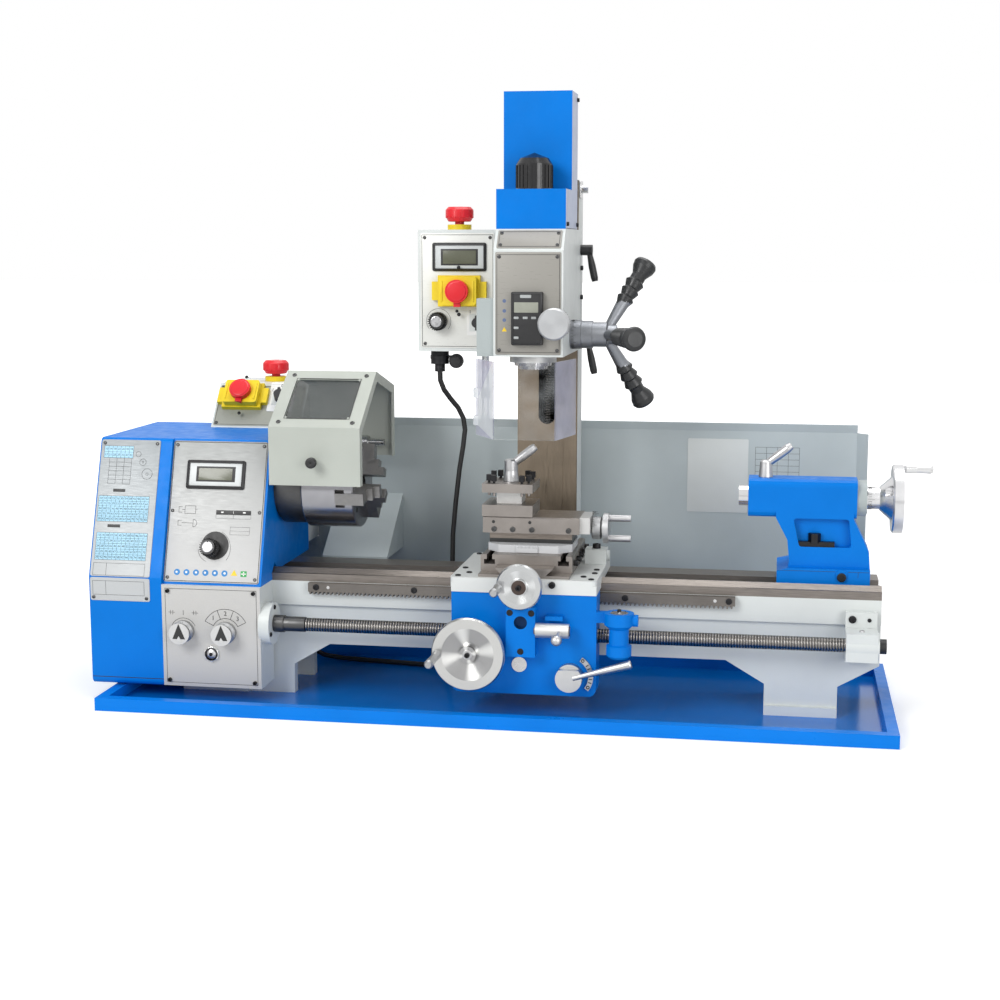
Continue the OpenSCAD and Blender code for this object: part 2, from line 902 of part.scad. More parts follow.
// Mill control box on an arm from the column, with its socket and hanging dust cap
function cbox_mid() = [cbox_x1 - cbox_w / 2, cbox_y, mill_z + cbox_h / 2];
function cbox_at(share) = [cbox_w * share.x, cbox_h * share.y, 0];
function cswitch_at() = cbox_at(cswitch_share);
function cknob_at() = cbox_at(cknob_share);
function crotary_at() = cbox_at(crotary_share);
function cstop_place() = [cbox_x1 - cbox_w * cstop_share, cbox_y + cbox_d / 2, mill_z + cbox_h];
module cbox_face() on_front(cbox_mid(), 0) children();

module mill_control_box() {
  m = cbox_mid();
  back = cbox_y + cbox_d;
  arm_y = column_y + way_d + column_d / 2;
  left = mill_x - column_w / 2;
  color("whitesmoke") {
    difference() {
      block([m.x - cbox_w / 2, cbox_y, mill_z], [m.x + cbox_w / 2, back, mill_z + cbox_h]);
      cbox_face() translate(cknob_at()) rod_z(-flange_l, cut, 0, 0, stem_r / 2 + fit);
      cbox_face() translate(crotary_at()) rod_z(-flange_l, cut, 0, 0, stem_r / 2 + fit);
      stop_bore(cstop_place(), -flange_l - stop_travel);
    }
    cbox_face() translate(crotary_at()) rotary_seat();
    block([m.x, back, m.z - cbox_h / 4], [m.x + cbox_w / 2, back + cbox_arm_t, m.z + cbox_h / 4]);
    block([cbox_x1 - cbox_arm_t, back, m.z - cbox_h / 4], [cbox_x1, arm_y, m.z + cbox_h / 4]);
    block([cbox_x1 - cbox_arm_t, arm_y - cbox_arm_t, m.z - cbox_h / 4], [left, arm_y, m.z + cbox_h / 4]);
  }
}

// Lead of the control box: one swept tube, with its plug and the dust cap on the socket
function ring_frame(p, i) = let (
    k = len(p) - 1,
    t = unit(p[min(i + 1, k)] - p[max(i - 1, 0)]),
    u = unit(cross([1, 0, 0], t)),
    v = cross(t, u))
  [for (j = [0:lead_sides - 1]) let (a = 360 * j / lead_sides) p[i] + lead_r * (u * cos(a) + v * sin(a))];

module tube(p) {
  k = len(p);
  n = lead_sides;
  points = [for (i = [0:k - 1]) each ring_frame(p, i)];
  walls = [for (i = [0:k - 2], j = [0:n - 1])
    [i * n + j, (i + 1) * n + j, (i + 1) * n + (j + 1) % n, i * n + (j + 1) % n]];
  polyhedron(points, concat([[for (j = [0:n - 1]) j]], walls, [[for (j = [n - 1:-1:0]) (k - 1) * n + j]]));
}

module control_cable() {
  top = lead_route[0].z;
  color("black") {
    tube(lead_route);
    rod_z(top, top + socket_h, lead_x, lead_y, socket_r / 2);
    rod_z(top + socket_h, mill_z, lead_x, lead_y, socket_r);
    rod_y(lead_y - dust_cap_t, lead_y, dust_cap_x, top + socket_r, dust_cap_r);
    block([lead_x, lead_y - dust_cap_t, mill_z - socket_h],
      [dust_cap_x, lead_y, mill_z - socket_h + dust_cap_t]);
  }
}

// Spindle: a bored journal with its nose flange and the chuck's back plate
module spindle() {
  x0 = head_x - head_l;
  nose = head_x + gap;
  color("dimgray") difference() {
    union() {
      rod_x(x0 - cover_l + cut, x0 + cut, 0, axis_z, spindle_tail_r);
      rod_x(x0 + cut, nose, 0, axis_z, spindle_r);
      rod_x(nose, nose + nose_flange_l, 0, axis_z, nose_flange_r);
      rod_x(nose + nose_flange_l, chuck_back(), 0, axis_z, back_plate_r);
    }
    rod_x(x0 - cover_l, chuck_back() + cut, 0, axis_z, spindle_bore_r);
  }
}

function chuck_back() = head_x + gap + nose_flange_l + back_plate_l;
function chuck_face() = chuck_back() + chuck_l;
module jaw_place(i) translate([chuck_face(), 0, axis_z]) rotate([jaw_phase + i * 120, 0, 0]) children();

// Three jaw chuck, slotted for the jaws, with a key socket at each jaw
module chuck_body() {
  color("silver") difference() {
    translate([chuck_back(), 0, axis_z]) rotate([0, 90, 0]) rotate_extrude($fn = 96)
      polygon([[chuck_hole_r, 0], [chuck_r - chuck_edge, 0], [chuck_r, chuck_edge],
        [chuck_r, chuck_l - chuck_edge], [chuck_r - chuck_edge, chuck_l], [chuck_hole_r, chuck_l]]);
    for (i = [0:2]) jaw_place(i) {
      block([-jaw_root - fit, 0, -jaw_w / 2 - fit], [cut, chuck_r + cut, jaw_w / 2 + fit]);
      block([-jaw_root - fit, 0, -jaw_w / 2 - tongue_t - fit],
        [-jaw_root + jaw_in + fit, chuck_r + cut, jaw_w / 2 + tongue_t + fit]);
      rotate([60, 0, 0]) rod_y(chuck_r - jaw_in, chuck_r + cut, -chuck_l / 2, 0, jaw_w / 3);
    }
  }
}

// A stepped jaw on its tongue
module jaw(i) {
  steps = [for (k = [0:2]) [(4 - k) * jaw_step_l / 2, jaw_tip + k * jaw_step_h]];
  top = jaw_tip + jaw_step_h * 4;
  color("lightgray") jaw_place(i) {
    along_z(-jaw_w / 2, jaw_w / 2) polygon(concat([[-jaw_root, top], [-jaw_root, jaw_tip]],
      [for (s = steps, k = [0, 1]) [s.x, s.y + k * jaw_step_h]], [[jaw_step_l, top]]));
    block([-jaw_root, jaw_tip, -jaw_w / 2 - tongue_t], [-jaw_root + jaw_in, top - jaw_step_h,
      jaw_w / 2 + tongue_t]);
  }
}

module chuck_jaw_1() jaw(0);
module chuck_jaw_2() jaw(1);
module chuck_jaw_3() jaw(2);

// Chuck guard: a bent sheet hood hung on the rod, with a flange, a window and a knob
function guard_path() = [[-guard_front, axis_z + guard_low], [-guard_front, axis_z + guard_bend],
  [guard_ridge_y, axis_z + guard_ridge], [guard_rear_y, axis_z + guard_rear],
  [guard_rear_y, axis_z + guard_foot]];
function guard_slope() = guard_path()[2] - guard_path()[1];
module guard_face() on_front([(guard_x0 + guard_x1) / 2,
  -guard_front + guard_slope().x / 2, axis_z + guard_bend + guard_slope().y / 2],
  atan(guard_slope().x / guard_slope().y)) children();
module window_outline(margin) {
  l = guard_w / 2 - window_gap + margin;
  w = norm(guard_slope()) / 2 - window_gap + margin;
  polygon(rounded([[-l, -w], [l, -w], [l, w], [-l, w]], window_r));
}

module chuck_guard() {
  p = guard_path();
  knob_at = [guard_x0 + guard_w / 2, -guard_front, axis_z + guard_low + jaw_w * 2];
  color("gainsboro") {
    difference() {
      union() {
        along_x(guard_x0, guard_x1) polygon(sheet(p, -guard_t));
        along_x(guard_x1 - guard_t, guard_x1) polygon(sheet(p, -guard_flange));
        for (x = [guard_x0 + knuckle_r, guard_x1 - knuckle_r * 6]) hinge_knuckle(x);
      }
      guard_face() along_z(-guard_t - cut, cut) window_outline(0);
      for (x = [guard_x0 + knuckle_r, guard_x1 - knuckle_r * 6])
        rod_x(x - cut, x + knuckle_r * 2 + cut, hinge_y, hinge_z, hinge_r + fit);
    }
    translate(knob_at) rotate([90, 0, 0]) {
      rod_z(-guard_t, guard_knob_l / 2, 0, 0, knob_stem_r);
      rotate_extrude() polygon(rounded([[0, guard_knob_l / 2], [guard_knob_r, guard_knob_l / 2],
        [guard_knob_r, guard_knob_l], [0, guard_knob_l]], window_t));
    }
  }
}

module hinge_knuckle(x) {
  rod_x(x, x + knuckle_r * 2, hinge_y, hinge_z, knuckle_r);
  block([x, hinge_y, hinge_z - knuckle_r],
    [x + knuckle_r * 2, guard_rear_y - guard_t / 2, hinge_z + knuckle_r]);
}

// Clear pane screwed under the guard's slanted face
module guard_window() {
  color("lightcyan") guard_face()
    along_z(-guard_t - fit - window_t, -guard_t - fit) window_outline(window_gap / 2);
}

// A knob with a pointer ridge, turned about its own upright axis, on a stem
module knob(r, l, stem_l, s) {
  rod_z(-stem_l, l / 4, 0, 0, s);
  rotate_extrude()
    polygon([[0, gap], [r, gap], [r, l / 3], [r * grip_share, l / 2], [r * grip_share, l], [0, l]]);
  block([-r / 8, 0, l / 3], [r / 8, r - cut, l / 2]);
}

module lathe_speed_knob() {
  color("black") panel_face(speed_knob_z) translate([0, 0, switch_plate_t])
    knob(knob_r, knob_l, knob_l / 2, stem_r / 2);
}

module mill_speed_knob() {
  color("black") cbox_face() translate(cknob_at()) translate([0, 0, switch_plate_t])
    knob(knob_r, knob_l, knob_l / 2, stem_r / 2);
}

// Direction switches turn on a square plate
module direction_switch() {
  translate([0, 0, rotary_plate_t]) {
    rod_z(-rotary_plate_t - rotary_l / 2, cut, 0, 0, stem_r / 2);
    rotate_extrude() polygon([[0, gap], [rotary_r, gap], [rotary_r * grip_share, rotary_l], [0, rotary_l]]);
    block([-cut, -rotary_r - cut, gap], [cut, rotary_r + cut, rotary_l]);
  }
}

module lathe_direction_switch() {
  color("black") elec_face() translate([rotary_dx(), 0, 0]) direction_switch();
}

module mill_direction_switch() {
  color("black") cbox_face() translate(crotary_at()) direction_switch();
}

// Emergency stops: a ribbed mushroom cap on a sliding stem
module stop_button() {
  low = stop_collar_h + stop_travel + gap;
  color("red") {
    rod_z(-flange_l, low + cut, 0, 0, stem_r);
    rotate_extrude() polygon(rounded([[0, low], [stop_r * grip_share, low], [stop_r, low + stop_cap_h / 3],
      [stop_r, low + stop_cap_h * grip_share], [stop_r * grip_share, low + stop_cap_h],
      [0, low + stop_cap_h]], cut));
  }
}

module lathe_stop_button() translate(stop_place()) stop_button();
module mill_stop_button() translate(cstop_place()) stop_button();

// Switch lids hinge at their upper edge and carry a mushroom with a lifting tab
module switch_lid() {
  l = lid_l / 2;
  w = lid_w / 2;
  top = switch_base_t + gap + lid_t;
  color("gold") {
    along_z(switch_base_t + gap, top) polygon(rounded([[-l, -w], [l, -w], [l, w], [-l, w]], cut * 2));
    rod_z(top - cut, top + mushroom_t, 0, 0, mushroom_r);
    block([-tab_w / 2, -tab_l, top - cut], [tab_w / 2, 0, top + mushroom_t / 2]);
  }
}

module lathe_switch_lid() elec_face() switch_lid();
module mill_switch_lid() cbox_face() translate(cswitch_at()) switch_lid();

// Feed knobs on the gearbox
module feed_knob(x) {
  color("dimgray") translate([x, -box_front, feed_knob_z]) rotate([90, 0, 0])
    knob(feed_knob_r, feed_knob_l, feed_knob_l / 2, stem_r);
}

module feed_direction_knob() feed_knob(direction_x);
module feed_range_knob() feed_knob(range_x);

// Leadscrew between the gearbox and the end bearing, with its end cap
module leadscrew() {
  color("slategray") {
    rod_x(head_x - screw_in + cut, hanger_x1 + cut, -leadscrew_y, screw_z, leadscrew_r);
    rod_x(hanger_x1 + cut + gap, hanger_x1 + end_cap_l, -leadscrew_y, screw_z, end_cap_r);
  }
}

// Saddle: it straddles the ways, with an apron seat in front and a dovetail across
module dovetail(half, h, flare, c = 0) {
  slope = c * flare / h;
  top = half + c * 2 + slope;
  low = half - flare + c * 2 - slope;
  polygon([[-low, -c], [low, -c], [top, h + c], [-top, h + c]]);
}

module saddle() {
  x0 = car_x - saddle_w / 2;
  x1 = car_x + saddle_w / 2;
  half = plateau_w / 2;
  r = saddle_t / 2;
  color("gainsboro") difference() {
    union() {
      along_z(saddle_z, saddle_top)
        polygon(rounded([[x0, saddle_front], [x1, saddle_front], [x1, saddle_back], [x0, saddle_back]], r));
      block([apron_x0, saddle_front, apron_z1], [apron_x1, -bed_w / 2 - gap, saddle_top - r]);
      block([car_x - half, saddle_front + r, saddle_z + r],
        [car_x + half, saddle_back, saddle_top + plateau_h]);
      translate([car_x, 0, saddle_top + plateau_h]) along_y(saddle_front + r, saddle_back)
        dovetail(cross_way_w / 2, cross_way_h, tail_flare);
      block([x1 - lock_block_l, 0, saddle_top - r], [x1, lock_block_w, saddle_top + lock_block_h]);
      rod_x(x1 - cut, x1 + cut * 2, lock_block_w / 2, saddle_top + lock_block_h / 2, lock_boss_r);
    }
    along_x(x0 - cut, x1 + cut) polygon([[ridge_y - ridge_w / 2 - gap, saddle_z - cut],
      [ridge_y - ridge_w / 2 - gap, saddle_z], [ridge_y, saddle_z + ridge_h + gap],
      [ridge_y + ridge_w / 2 + gap, saddle_z], [ridge_y + ridge_w / 2 + gap, saddle_z - cut]]);
    rod_y(saddle_front - cut, saddle_front + cross_screw_r * 4, car_x, cross_screw_z, cross_screw_r + fit);
  }
}

// Apron: the casting under the saddle, with the dial's housing and the levers' seats
module apron() {
  r = boss_d / 2;
  color("royalblue") difference() {
    union() {
      along_y(apron_y0, apron_y1) polygon(rounded([[apron_x0, apron_z0], [apron_x1, apron_z0],
        [apron_x1, apron_z1], [apron_x0, apron_z1]], r));
      block([apron_x0, apron_y0, apron_z1 - r * 2], [apron_x1, apron_y1, apron_z1]);
      block([car_x - boss_w / 2, apron_y0 - boss_d, boss_z], [boss_x1, apron_y0 + cut, boss_z + boss_h]);
      rod_x(boss_x1 - cut, boss_x1 + feed_sleeve_l, feed_sleeve_y, feed_sleeve_z, stem_r);
      block([rest_x, apron_y0 - r, rest_z], [rest_x + rest_l, apron_y0 + cut, rest_z + rest_t]);
      rod_y(apron_y0 - cut * 2, apron_y0 + cut, car_wheel_x, car_wheel_z, wheel_hub_r + cut * 2);
      rod_y(apron_y0 - cut, apron_y0 + cut, car_x - jaw_in / 3, half_nut_z + jaw_in, sight_r);
      dial_housing();
    }
    rod_x(apron_x0 - cut, dial_post_x, -leadscrew_y, screw_z, leadscrew_r + cut);
    rod_y(apron_y0 - boss_d - cut, apron_y0 - boss_d / 2, car_x, boss_z + boss_h - boss_d, boss_bore_r);
    rod_y(apron_y0 - cut * 4, apron_y0 + flange_l, car_wheel_x, car_wheel_z, stem_r + fit);
    rod_y(apron_y0 - cut, apron_y0 + flange_l, half_nut_x, half_nut_z, stem_r + fit);
    dial_bore();
  }
}

module dial_housing() {
  top = dial_top_z - dial_head_r - cut;
  low = dial_foot_z + dial_foot_r;
  block([apron_x1 - cut, apron_y0, top + cut * 3], [dial_post_x, apron_y0 + jaw_in, dial_top_z - cut]);
  translate([dial_post_x, dial_post_y, 0]) rotate_extrude() polygon([[0, dial_foot_z],
    [dial_neck_r, dial_foot_z], [dial_foot_r, dial_foot_z + cut * 2], [dial_foot_r, low],
    [dial_neck_r, low + cut], [dial_neck_r, top], [dial_head_r, top + cut * 3], [dial_head_r, dial_top_z], [0, dial_top_z]]);
  rod_x(dial_post_x, dial_post_x + dial_head_r + cut * 3, dial_post_y, dial_top_z - dial_head_r / 2,
    dial_head_r / 2 - cut);
}

module dial_bore() {
  rod_z(dial_foot_z - cut, dial_top_z + cut, dial_post_x, dial_post_y, dial_shaft_r + fit);
  rod_z(dial_top_z - cut, dial_top_z + cut, dial_post_x, dial_post_y, dial_face_r + fit);
  rod_z(dial_foot_z - cut, dial_foot_z + dial_face_r, dial_post_x, dial_post_y, dial_face_r + gap);
}

module thread_dial() {
  color("silver") {
    rod_z(dial_top_z - cut, dial_top_z, dial_post_x, dial_post_y, dial_face_r);
    rod_z(dial_foot_z, dial_top_z - cut / 2, dial_post_x, dial_post_y, dial_shaft_r);
    rod_z(dial_foot_z, dial_foot_z + dial_face_r - cut / 2, dial_post_x, dial_post_y, dial_face_r - cut / 2);
    translate([0, 0, dial_top_z]) rod_z(-cut / 2, cut, dial_post_x, dial_post_y, dial_shaft_r / 2);
  }
}

// A dished handwheel turned about its upright axis: hub, cone and flat rim
module wheel(r, rim_w, rim_t, hub_r, dish) {
  rotate_extrude($fn = 96) polygon([[0, -rim_t], [hub_r, -rim_t], [r - rim_w, dish - rim_t / 2],
    [r - cut, dish - rim_t / 2], [r, dish], [r, dish + rim_t / 2], [r - cut, dish + rim_t],
    [r - rim_w, dish + rim_t], [hub_r, rim_t], [hub_r, dish + rim_t], [0, dish + rim_t]]);
}

module crank_handle(l) {
  rotate_extrude() polygon([[0, 0], [wheel_handle_r / 2, 0], [wheel_handle_r / 2, cut * 2],
    [wheel_handle_r, cut * 4], [wheel_handle_r * handle_share, l / 2], [wheel_handle_r, l - cut * 2],
    [wheel_handle_r - cut, l], [0, l]]);
}

module apron_handwheel() {
  color("silver") translate([car_wheel_x, -car_wheel_y, car_wheel_z]) rotate([90, 0, 0]) {
    wheel(car_wheel_r, car_rim_w, rim_t, wheel_hub_r, car_dish);
    rod_z(-car_wheel_y - apron_y0 - flange_l + cut, 0, 0, 0, stem_r);
    rod_z(-car_wheel_y - apron_y0 + cut * 2 + gap, 0, 0, 0, wheel_hub_r);
    translate([-car_wheel_r + car_rim_w * 2 / 3, 0, car_dish + rim_t - cut]) crank_handle(car_handle_l);
  }
}

module cross_handwheel() {
  color("silver") translate([car_x, -cross_wheel_y, cross_screw_z]) rotate([90, 0, 0]) {
    wheel(cross_wheel_r, cross_rim_w, rim_t, wheel_hub_r, cut);
    rod_z(-cross_wheel_y - saddle_front - cross_screw_r * 4 + cut, 0, 0, 0, cross_screw_r);
    rod_z(-cross_wheel_y - saddle_front + gap, 0, 0, 0, wheel_hub_r * cross_share);
    translate([-cross_wheel_r + cross_rim_w / 2, 0, rim_t]) crank_handle(cross_handle_l);
  }
}

// Half nut lever: a flat hub with a tapered rod
module half_nut_lever() {
  l = half_nut_l;
  y = apron_y0 - gap;
  color("silver") translate([half_nut_x, y, half_nut_z]) rotate([90, 0, 0]) {
    difference() {
      rod_z(0, boss_d, 0, 0, half_nut_r);
      block([-half_nut_r - cut, half_nut_r - cut * 3, boss_d / 2],
        [half_nut_r + cut, half_nut_r + cut, boss_d + cut]);
    }
    rod_z(-flange_l + cut, 0, 0, 0, stem_r);
    rotate([0, 0, half_nut_deg]) translate([rod_r1, 0, boss_d - rod_r0 / 2]) rotate([0, 90, 0])
      rotate_extrude() polygon([[0, 0], [rod_r0, 0], [rod_r0, half_nut_r], [rod_r1, l - cut],
        [rod_r1 - cut / 2, l], [0, l]]);
  }
}

// Feed lever: a sleeve on the apron's pin, with a short rod and ball
module feed_lever() {
  x0 = boss_x1 + gap;
  color("dimgray") difference() {
    union() {
      rod_x(x0, x0 + feed_sleeve_l - cut, feed_sleeve_y, feed_sleeve_z, feed_sleeve_r);
      translate([x0 + feed_sleeve_l - ball_r * 2, feed_sleeve_y, feed_sleeve_z])
        rotate([90 - feed_lever_deg, 0, 0]) {
          rod_z(0, feed_lever_l, 0, 0, rod_r0);
          translate([0, 0, feed_lever_l]) sphere(ball_r);
        }
    }
    rod_x(x0 - cut, x0 + feed_sleeve_l, feed_sleeve_y, feed_sleeve_z, stem_r + fit);
  }
}

// Cross slide with two T slots and the female dovetail
module cross_slide() {
  half = cross_w / 2;
  y1 = cross_y0 + cross_l;
  color("dimgray") difference() {
    translate([car_x, 0, cross_z]) along_y(cross_y0, y1) difference() {
      polygon([[-half, 0], [half, 0], [half, cross_t - cut], [half - cut, cross_t],
        [-half + cut, cross_t], [-half, cross_t - cut]]);
      dovetail(cross_way_w / 2, cross_way_h, tail_flare, fit * 2);
      for (s = [-1, 1]) translate([s * t_slot_x, cross_t - t_slot_deep]) {
        translate([-t_slot_w / 2, 0]) square([t_slot_w, t_slot_deep + cut]);
        translate([-t_head_w / 2, 0]) square([t_head_w, t_head_h]);
      }
    }
  }
}

// Swivel base: a plate with cut corners under a dovetail for the top slide
module swivel_base() {
  w = swivel_w / 2;
  d = swivel_d / 2;
  c = swivel_corner;
  z1 = swivel_z + swivel_t;
  color("dimgray") translate([swivel_x, swivel_y, 0]) difference() {
    union() {
      along_z(swivel_z + fit, z1) polygon([[-w + c, -d], [w - c, -d], [w, -d + c], [w, d - c], [w - c, d],
        [-w + c, d], [-w, d - c], [-w, -d + c]]);
      block([-top_base_l / 2, -top_base_w / 2, z1 - cut], [top_base_l / 2, top_base_w / 2, top_z - fit]);
      translate([0, 0, top_z - fit]) along_x(-top_base_l / 2, top_base_l / 2 - bearing_l * 2)
        dovetail(top_way_w / 2, top_way_h, tail_flare / 2);
    }
    rod_x(0, top_base_l / 2 + cut, 0, top_screw_z, top_screw_r + cut / 2);
  }
}

// Top slide with its end bearing
module top_slide() {
  w = top_w / 2;
  h = top_t;
  x1 = top_x0 + top_l;
  color("dimgray") difference() {
    union() {
      translate([0, swivel_y, top_z]) along_x(top_x0, x1) difference() {
        polygon([[-w, 0], [w, 0], [w, h - cut], [w - cut, h], [-w + cut, h], [-w, h - cut]]);
        dovetail(top_way_w / 2, top_way_h, tail_flare / 2, fit * 2);
      }
      block([x1, swivel_y - bearing_w, top_z], [x1 + bearing_l, swivel_y + bearing_w, top_top]);
      rod_z(top_top - cut, top_top + post_base_h, post_x, swivel_y, post_stud_r);
    }
    rod_x(x1 - flange_l - cut, x1 + bearing_l + cut, swivel_y, top_screw_z, top_screw_r + fit);
  }
}

// Top slide handle: collar and disc with two rods
module top_slide_handle() {
  x = top_x0 + top_l + bearing_l + gap;
  end = collar_l + ball_disc_l;
  color("silver") translate([x, swivel_y, top_screw_z]) rotate([0, 90, 0]) {
    rod_z(-bearing_l - flange_l, cut, 0, 0, top_screw_r);
    rotate_extrude() polygon([[0, 0], [collar_r - cut, 0], [collar_r, cut], [collar_r, collar_l - cut],
      [collar_r * grip_share, collar_l], [collar_r * grip_share, collar_l + cut],
      [ball_disc_r, collar_l + cut], [ball_disc_r, end], [0, end]]);
    for (s = [-1, 1]) rod_z(end - cut, end - cut + rod_handle_l, s * rod_offset, 0, rod_handle_r);
  }
}

// Four way tool post with square headed clamp screws
module tool_post() {
  h = post_w / 2;
  z1 = post_z + post_base_h;
  z2 = z1 + tool_slot_h;
  z3 = z2 + post_cap_h;
  c = post_core_w / 2;
  bore_top = top_top + post_base_h + gap;
  color("dimgray") translate([post_x, swivel_y, 0]) difference() {
    union() {
      block([-h, -h, post_z], [h, h, z1]);
      block([-c, -c, z1 - cut], [c, c, z2 + cut]);
      block([-h, -h, z2], [h, h, z3]);
      rod_z(z3, z3 + post_stud_h, 0, 0, post_stud_r);
      for (a = [0:3]) rotate([0, 0, 90 * a]) for (x = [-1, 1])
        translate([x * h * post_share, h - post_screw_r * 2, z3]) {
          rod_z(-post_cap_h - tool_slot_h / 3, post_screw_h, 0, 0, post_screw_r / 2);
          rotate([0, 0, 45]) translate([0, 0, post_screw_h / 3])
            cylinder(h = post_screw_h, r = post_head_r, $fn = 4);
        }
    }
    rod_z(post_z - cut, bore_top, 0, 0, post_stud_r + fit);
  }
}

// Clamp lever on top of the tool post
module tool_post_lever() {
  z = post_z + post_base_h + tool_slot_h + post_cap_h;
  color("silver") translate([post_x, swivel_y, 0]) difference() {
    union() {
      translate([0, 0, z + gap]) rotate_extrude() polygon([[0, 0], [lever_hub_r + cut, 0],
        [lever_hub_r, lever_hub_h / 2], [lever_hub_r, lever_hub_h], [lever_hub_r - cut, lever_hub_h + cut],
        [0, lever_hub_h + cut]]);
      translate([0, 0, z + lever_hub_h - lever_r]) rotate([0, 90 - lever_rise_deg, 0])
        lever_rod(lever_l, lever_r, lever_r * grip_share);
    }
    rod_z(z - cut, z + post_stud_h + gap, 0, 0, post_stud_r + fit);
  }
}

module lever_rod(l, r0, r1) {
  rotate_extrude() polygon([[0, 0], [r1, 0], [r0, l / 2], [r0, l - r0], [r0 * grip_share, l], [0, l]]);
}

// Tailstock base: slides on the ways and clamps a shoe under the rails
module tailstock_base() {
  mid = (bed_w / 2 - rear_rail_w - bed_w / 2 + front_rail_w) / 2;
  nut_x = tail_base_x0 + clamp_plate_l + cut * 2;
  color("royalblue") difference() {
    union() {
      along_y(-tail_base_front, tail_base_back) polygon([[tail_base_x0, tail_z], [tail_base_x1, tail_z],
        [tail_base_x1, tail_split], [tail_base_x0 + shoe_t * 2, tail_split],
        [tail_base_x0, tail_split - shoe_t / 2]]);
      rod_z(rail_z - shoe_t, tail_z + cut, nut_x, mid, clamp_bolt_r);
      block([nut_x - shoe_t * 4, mid - shoe_t * 4, rail_z - fit - shoe_t],
        [nut_x + shoe_t * 4, mid + shoe_t * 4, rail_z - fit]);
      rod_y(-tail_base_front - cut, -tail_base_front, tail_base_x1 - shoe_t * 5,
        tail_split - shoe_t, lock_boss_r);
    }
    along_x(tail_base_x0 - cut, tail_base_x1 + cut) polygon([[ridge_y - ridge_w, tail_z - cut],
      [ridge_y, tail_z + ridge_w - cut], [ridge_y + ridge_w, tail_z - cut]]);
  }
}

// Tailstock body: a waisted casting with a clamp recess, under the rounded barrel
function barrel_top() = axis_z + tail_half;
module tailstock_body() {
  x1 = tail_x + tail_l;
  w = tail_w / 2;
  waist_x = tail_x + tail_l * waist_shares[0].x;
  low = axis_z - tail_half;
  h = low - tail_split;
  color("royalblue") difference() {
    union() {
      along_x(tail_x, x1) translate([0, axis_z])
        polygon(rounded([[-w, -w], [w, -w], [w, w], [-w, w]], w * barrel_share));
      along_y(-tail_half, tail_half) polygon(concat([[waist_x, low + tail_drop]],
        [for (s = waist_shares) [tail_x + tail_l * s.x, tail_split + h * s.y]],
        [[tail_base_x0 + shoe_t * 2, tail_split], [tail_base_x1, tail_split],
          [tail_base_x1 - cut, tail_split + h * heel_share], [x1 - cut * 2, low],
          [x1 - cut * 2, low + tail_drop]]));
      rod_x(x1, x1 + tail_cap_l, 0, axis_z, tail_half - cut);
    }
    rod_x(tail_x - cut, x1 - tail_cap_l, 0, axis_z, quill_r + fit);
    rod_x(x1 - tail_cap_l - cut, x1 + tail_cap_l + cut, 0, axis_z, quill_r / 2 + fit);
    rod_z(axis_z, barrel_top() + cut, lock_x, 0, stem_r / 2 + fit);
    for (s = [-1, 1]) translate([0, s * tail_half, 0]) along_y(-tail_recess, tail_recess)
      polygon(rounded([for (s = recess_shares) [tail_x + tail_l * s.x, tail_split + h * s.y]], cut * 2));
  }
  color("dimgray") clamp_stack(tail_x + tail_l * clamp_share);
}

// The clamp plate and nut that stand in the front recess
module clamp_stack(x) {
  y = -tail_half + tail_recess;
  z = tail_split + (axis_z - tail_half - tail_split) * recess_shares[0].y;
  block([x - clamp_plate_l / 2, -tail_half + cut, z - cut], [x + clamp_plate_l / 2, y + cut, z + clamp_plate_h]);
  translate([x, y - clamp_nut_r / 2, z + clamp_plate_h - cut])
    cylinder(h = clamp_nut_h, r = clamp_nut_r, $fn = 6);
}

// Tailstock quill with a tapered mouth
module tailstock_quill() {
  l = tail_l - tail_cap_l - cut;
  x0 = tail_x - quill_out;
  color("silver") difference() {
    rod_x(x0, x0 + l, 0, axis_z, quill_r);
    translate([x0 - fit, 0, axis_z]) rotate([0, 90, 0])
      cylinder(h = l / 2, r1 = quill_bore_r, r2 = quill_bore_r * grip_share);
    rod_x(x0 + l / 2 - cut, x0 + l + cut, 0, axis_z, quill_r / 2);
  }
}

module tailstock_handwheel() {
  x = tail_x + tail_l + tail_cap_l + gap;
  r = tail_wheel_r;
  color("silver") translate([x, 0, axis_z]) rotate([0, 90, 0]) {
    rod_z(-tail_l / 2, cut, 0, 0, quill_r / 2 - fit);
    rod_z(0, tail_collar_l, 0, 0, tail_collar_r);
    translate([0, 0, tail_collar_l + tail_hub_l]) difference() {
      rotate_extrude($fn = 96) polygon([[0, -tail_hub_l], [collar_r, -tail_hub_l], [r - tail_rim_w, cut],
        [r - cut, cut], [r, cut * 2], [r, tail_rim_w], [r - tail_rim_t, tail_rim_w],
        [r - tail_rim_t, tail_rim_t], [collar_r, tail_rim_t], [collar_r, tail_rim_t + cut],
        [0, tail_rim_t + cut]]);
      for (a = [0:2]) rotate([0, 0, a * 120])
        rod_z(-cut * 4, tail_hub_l * 2, r * wheel_share, 0, tail_rim_t);
    }
    translate([-r + tail_rim_t / 2 + cut, 0, tail_collar_l + tail_hub_l + tail_rim_w - cut * 2])
      crank_handle(tail_handle_l);
  }
}

module quill_lock_lever() {
  z = barrel_top() + gap;
  color("dimgray") translate([lock_x, 0, z]) {
    rod_z(-tail_half / 3, cut, 0, 0, stem_r / 2);
    rotate_extrude() polygon([[0, 0], [lock_hub_r + cut, 0], [lock_hub_r, lock_hub_h - cut],
      [lock_hub_r - cut, lock_hub_h], [0, lock_hub_h]]);
    translate([0, 0, lock_hub_h - lever_r]) rotate([0, 90 - lever_rise_deg, 0])
      lever_rod(lever_l, lever_r, lever_r * grip_share);
  }
}

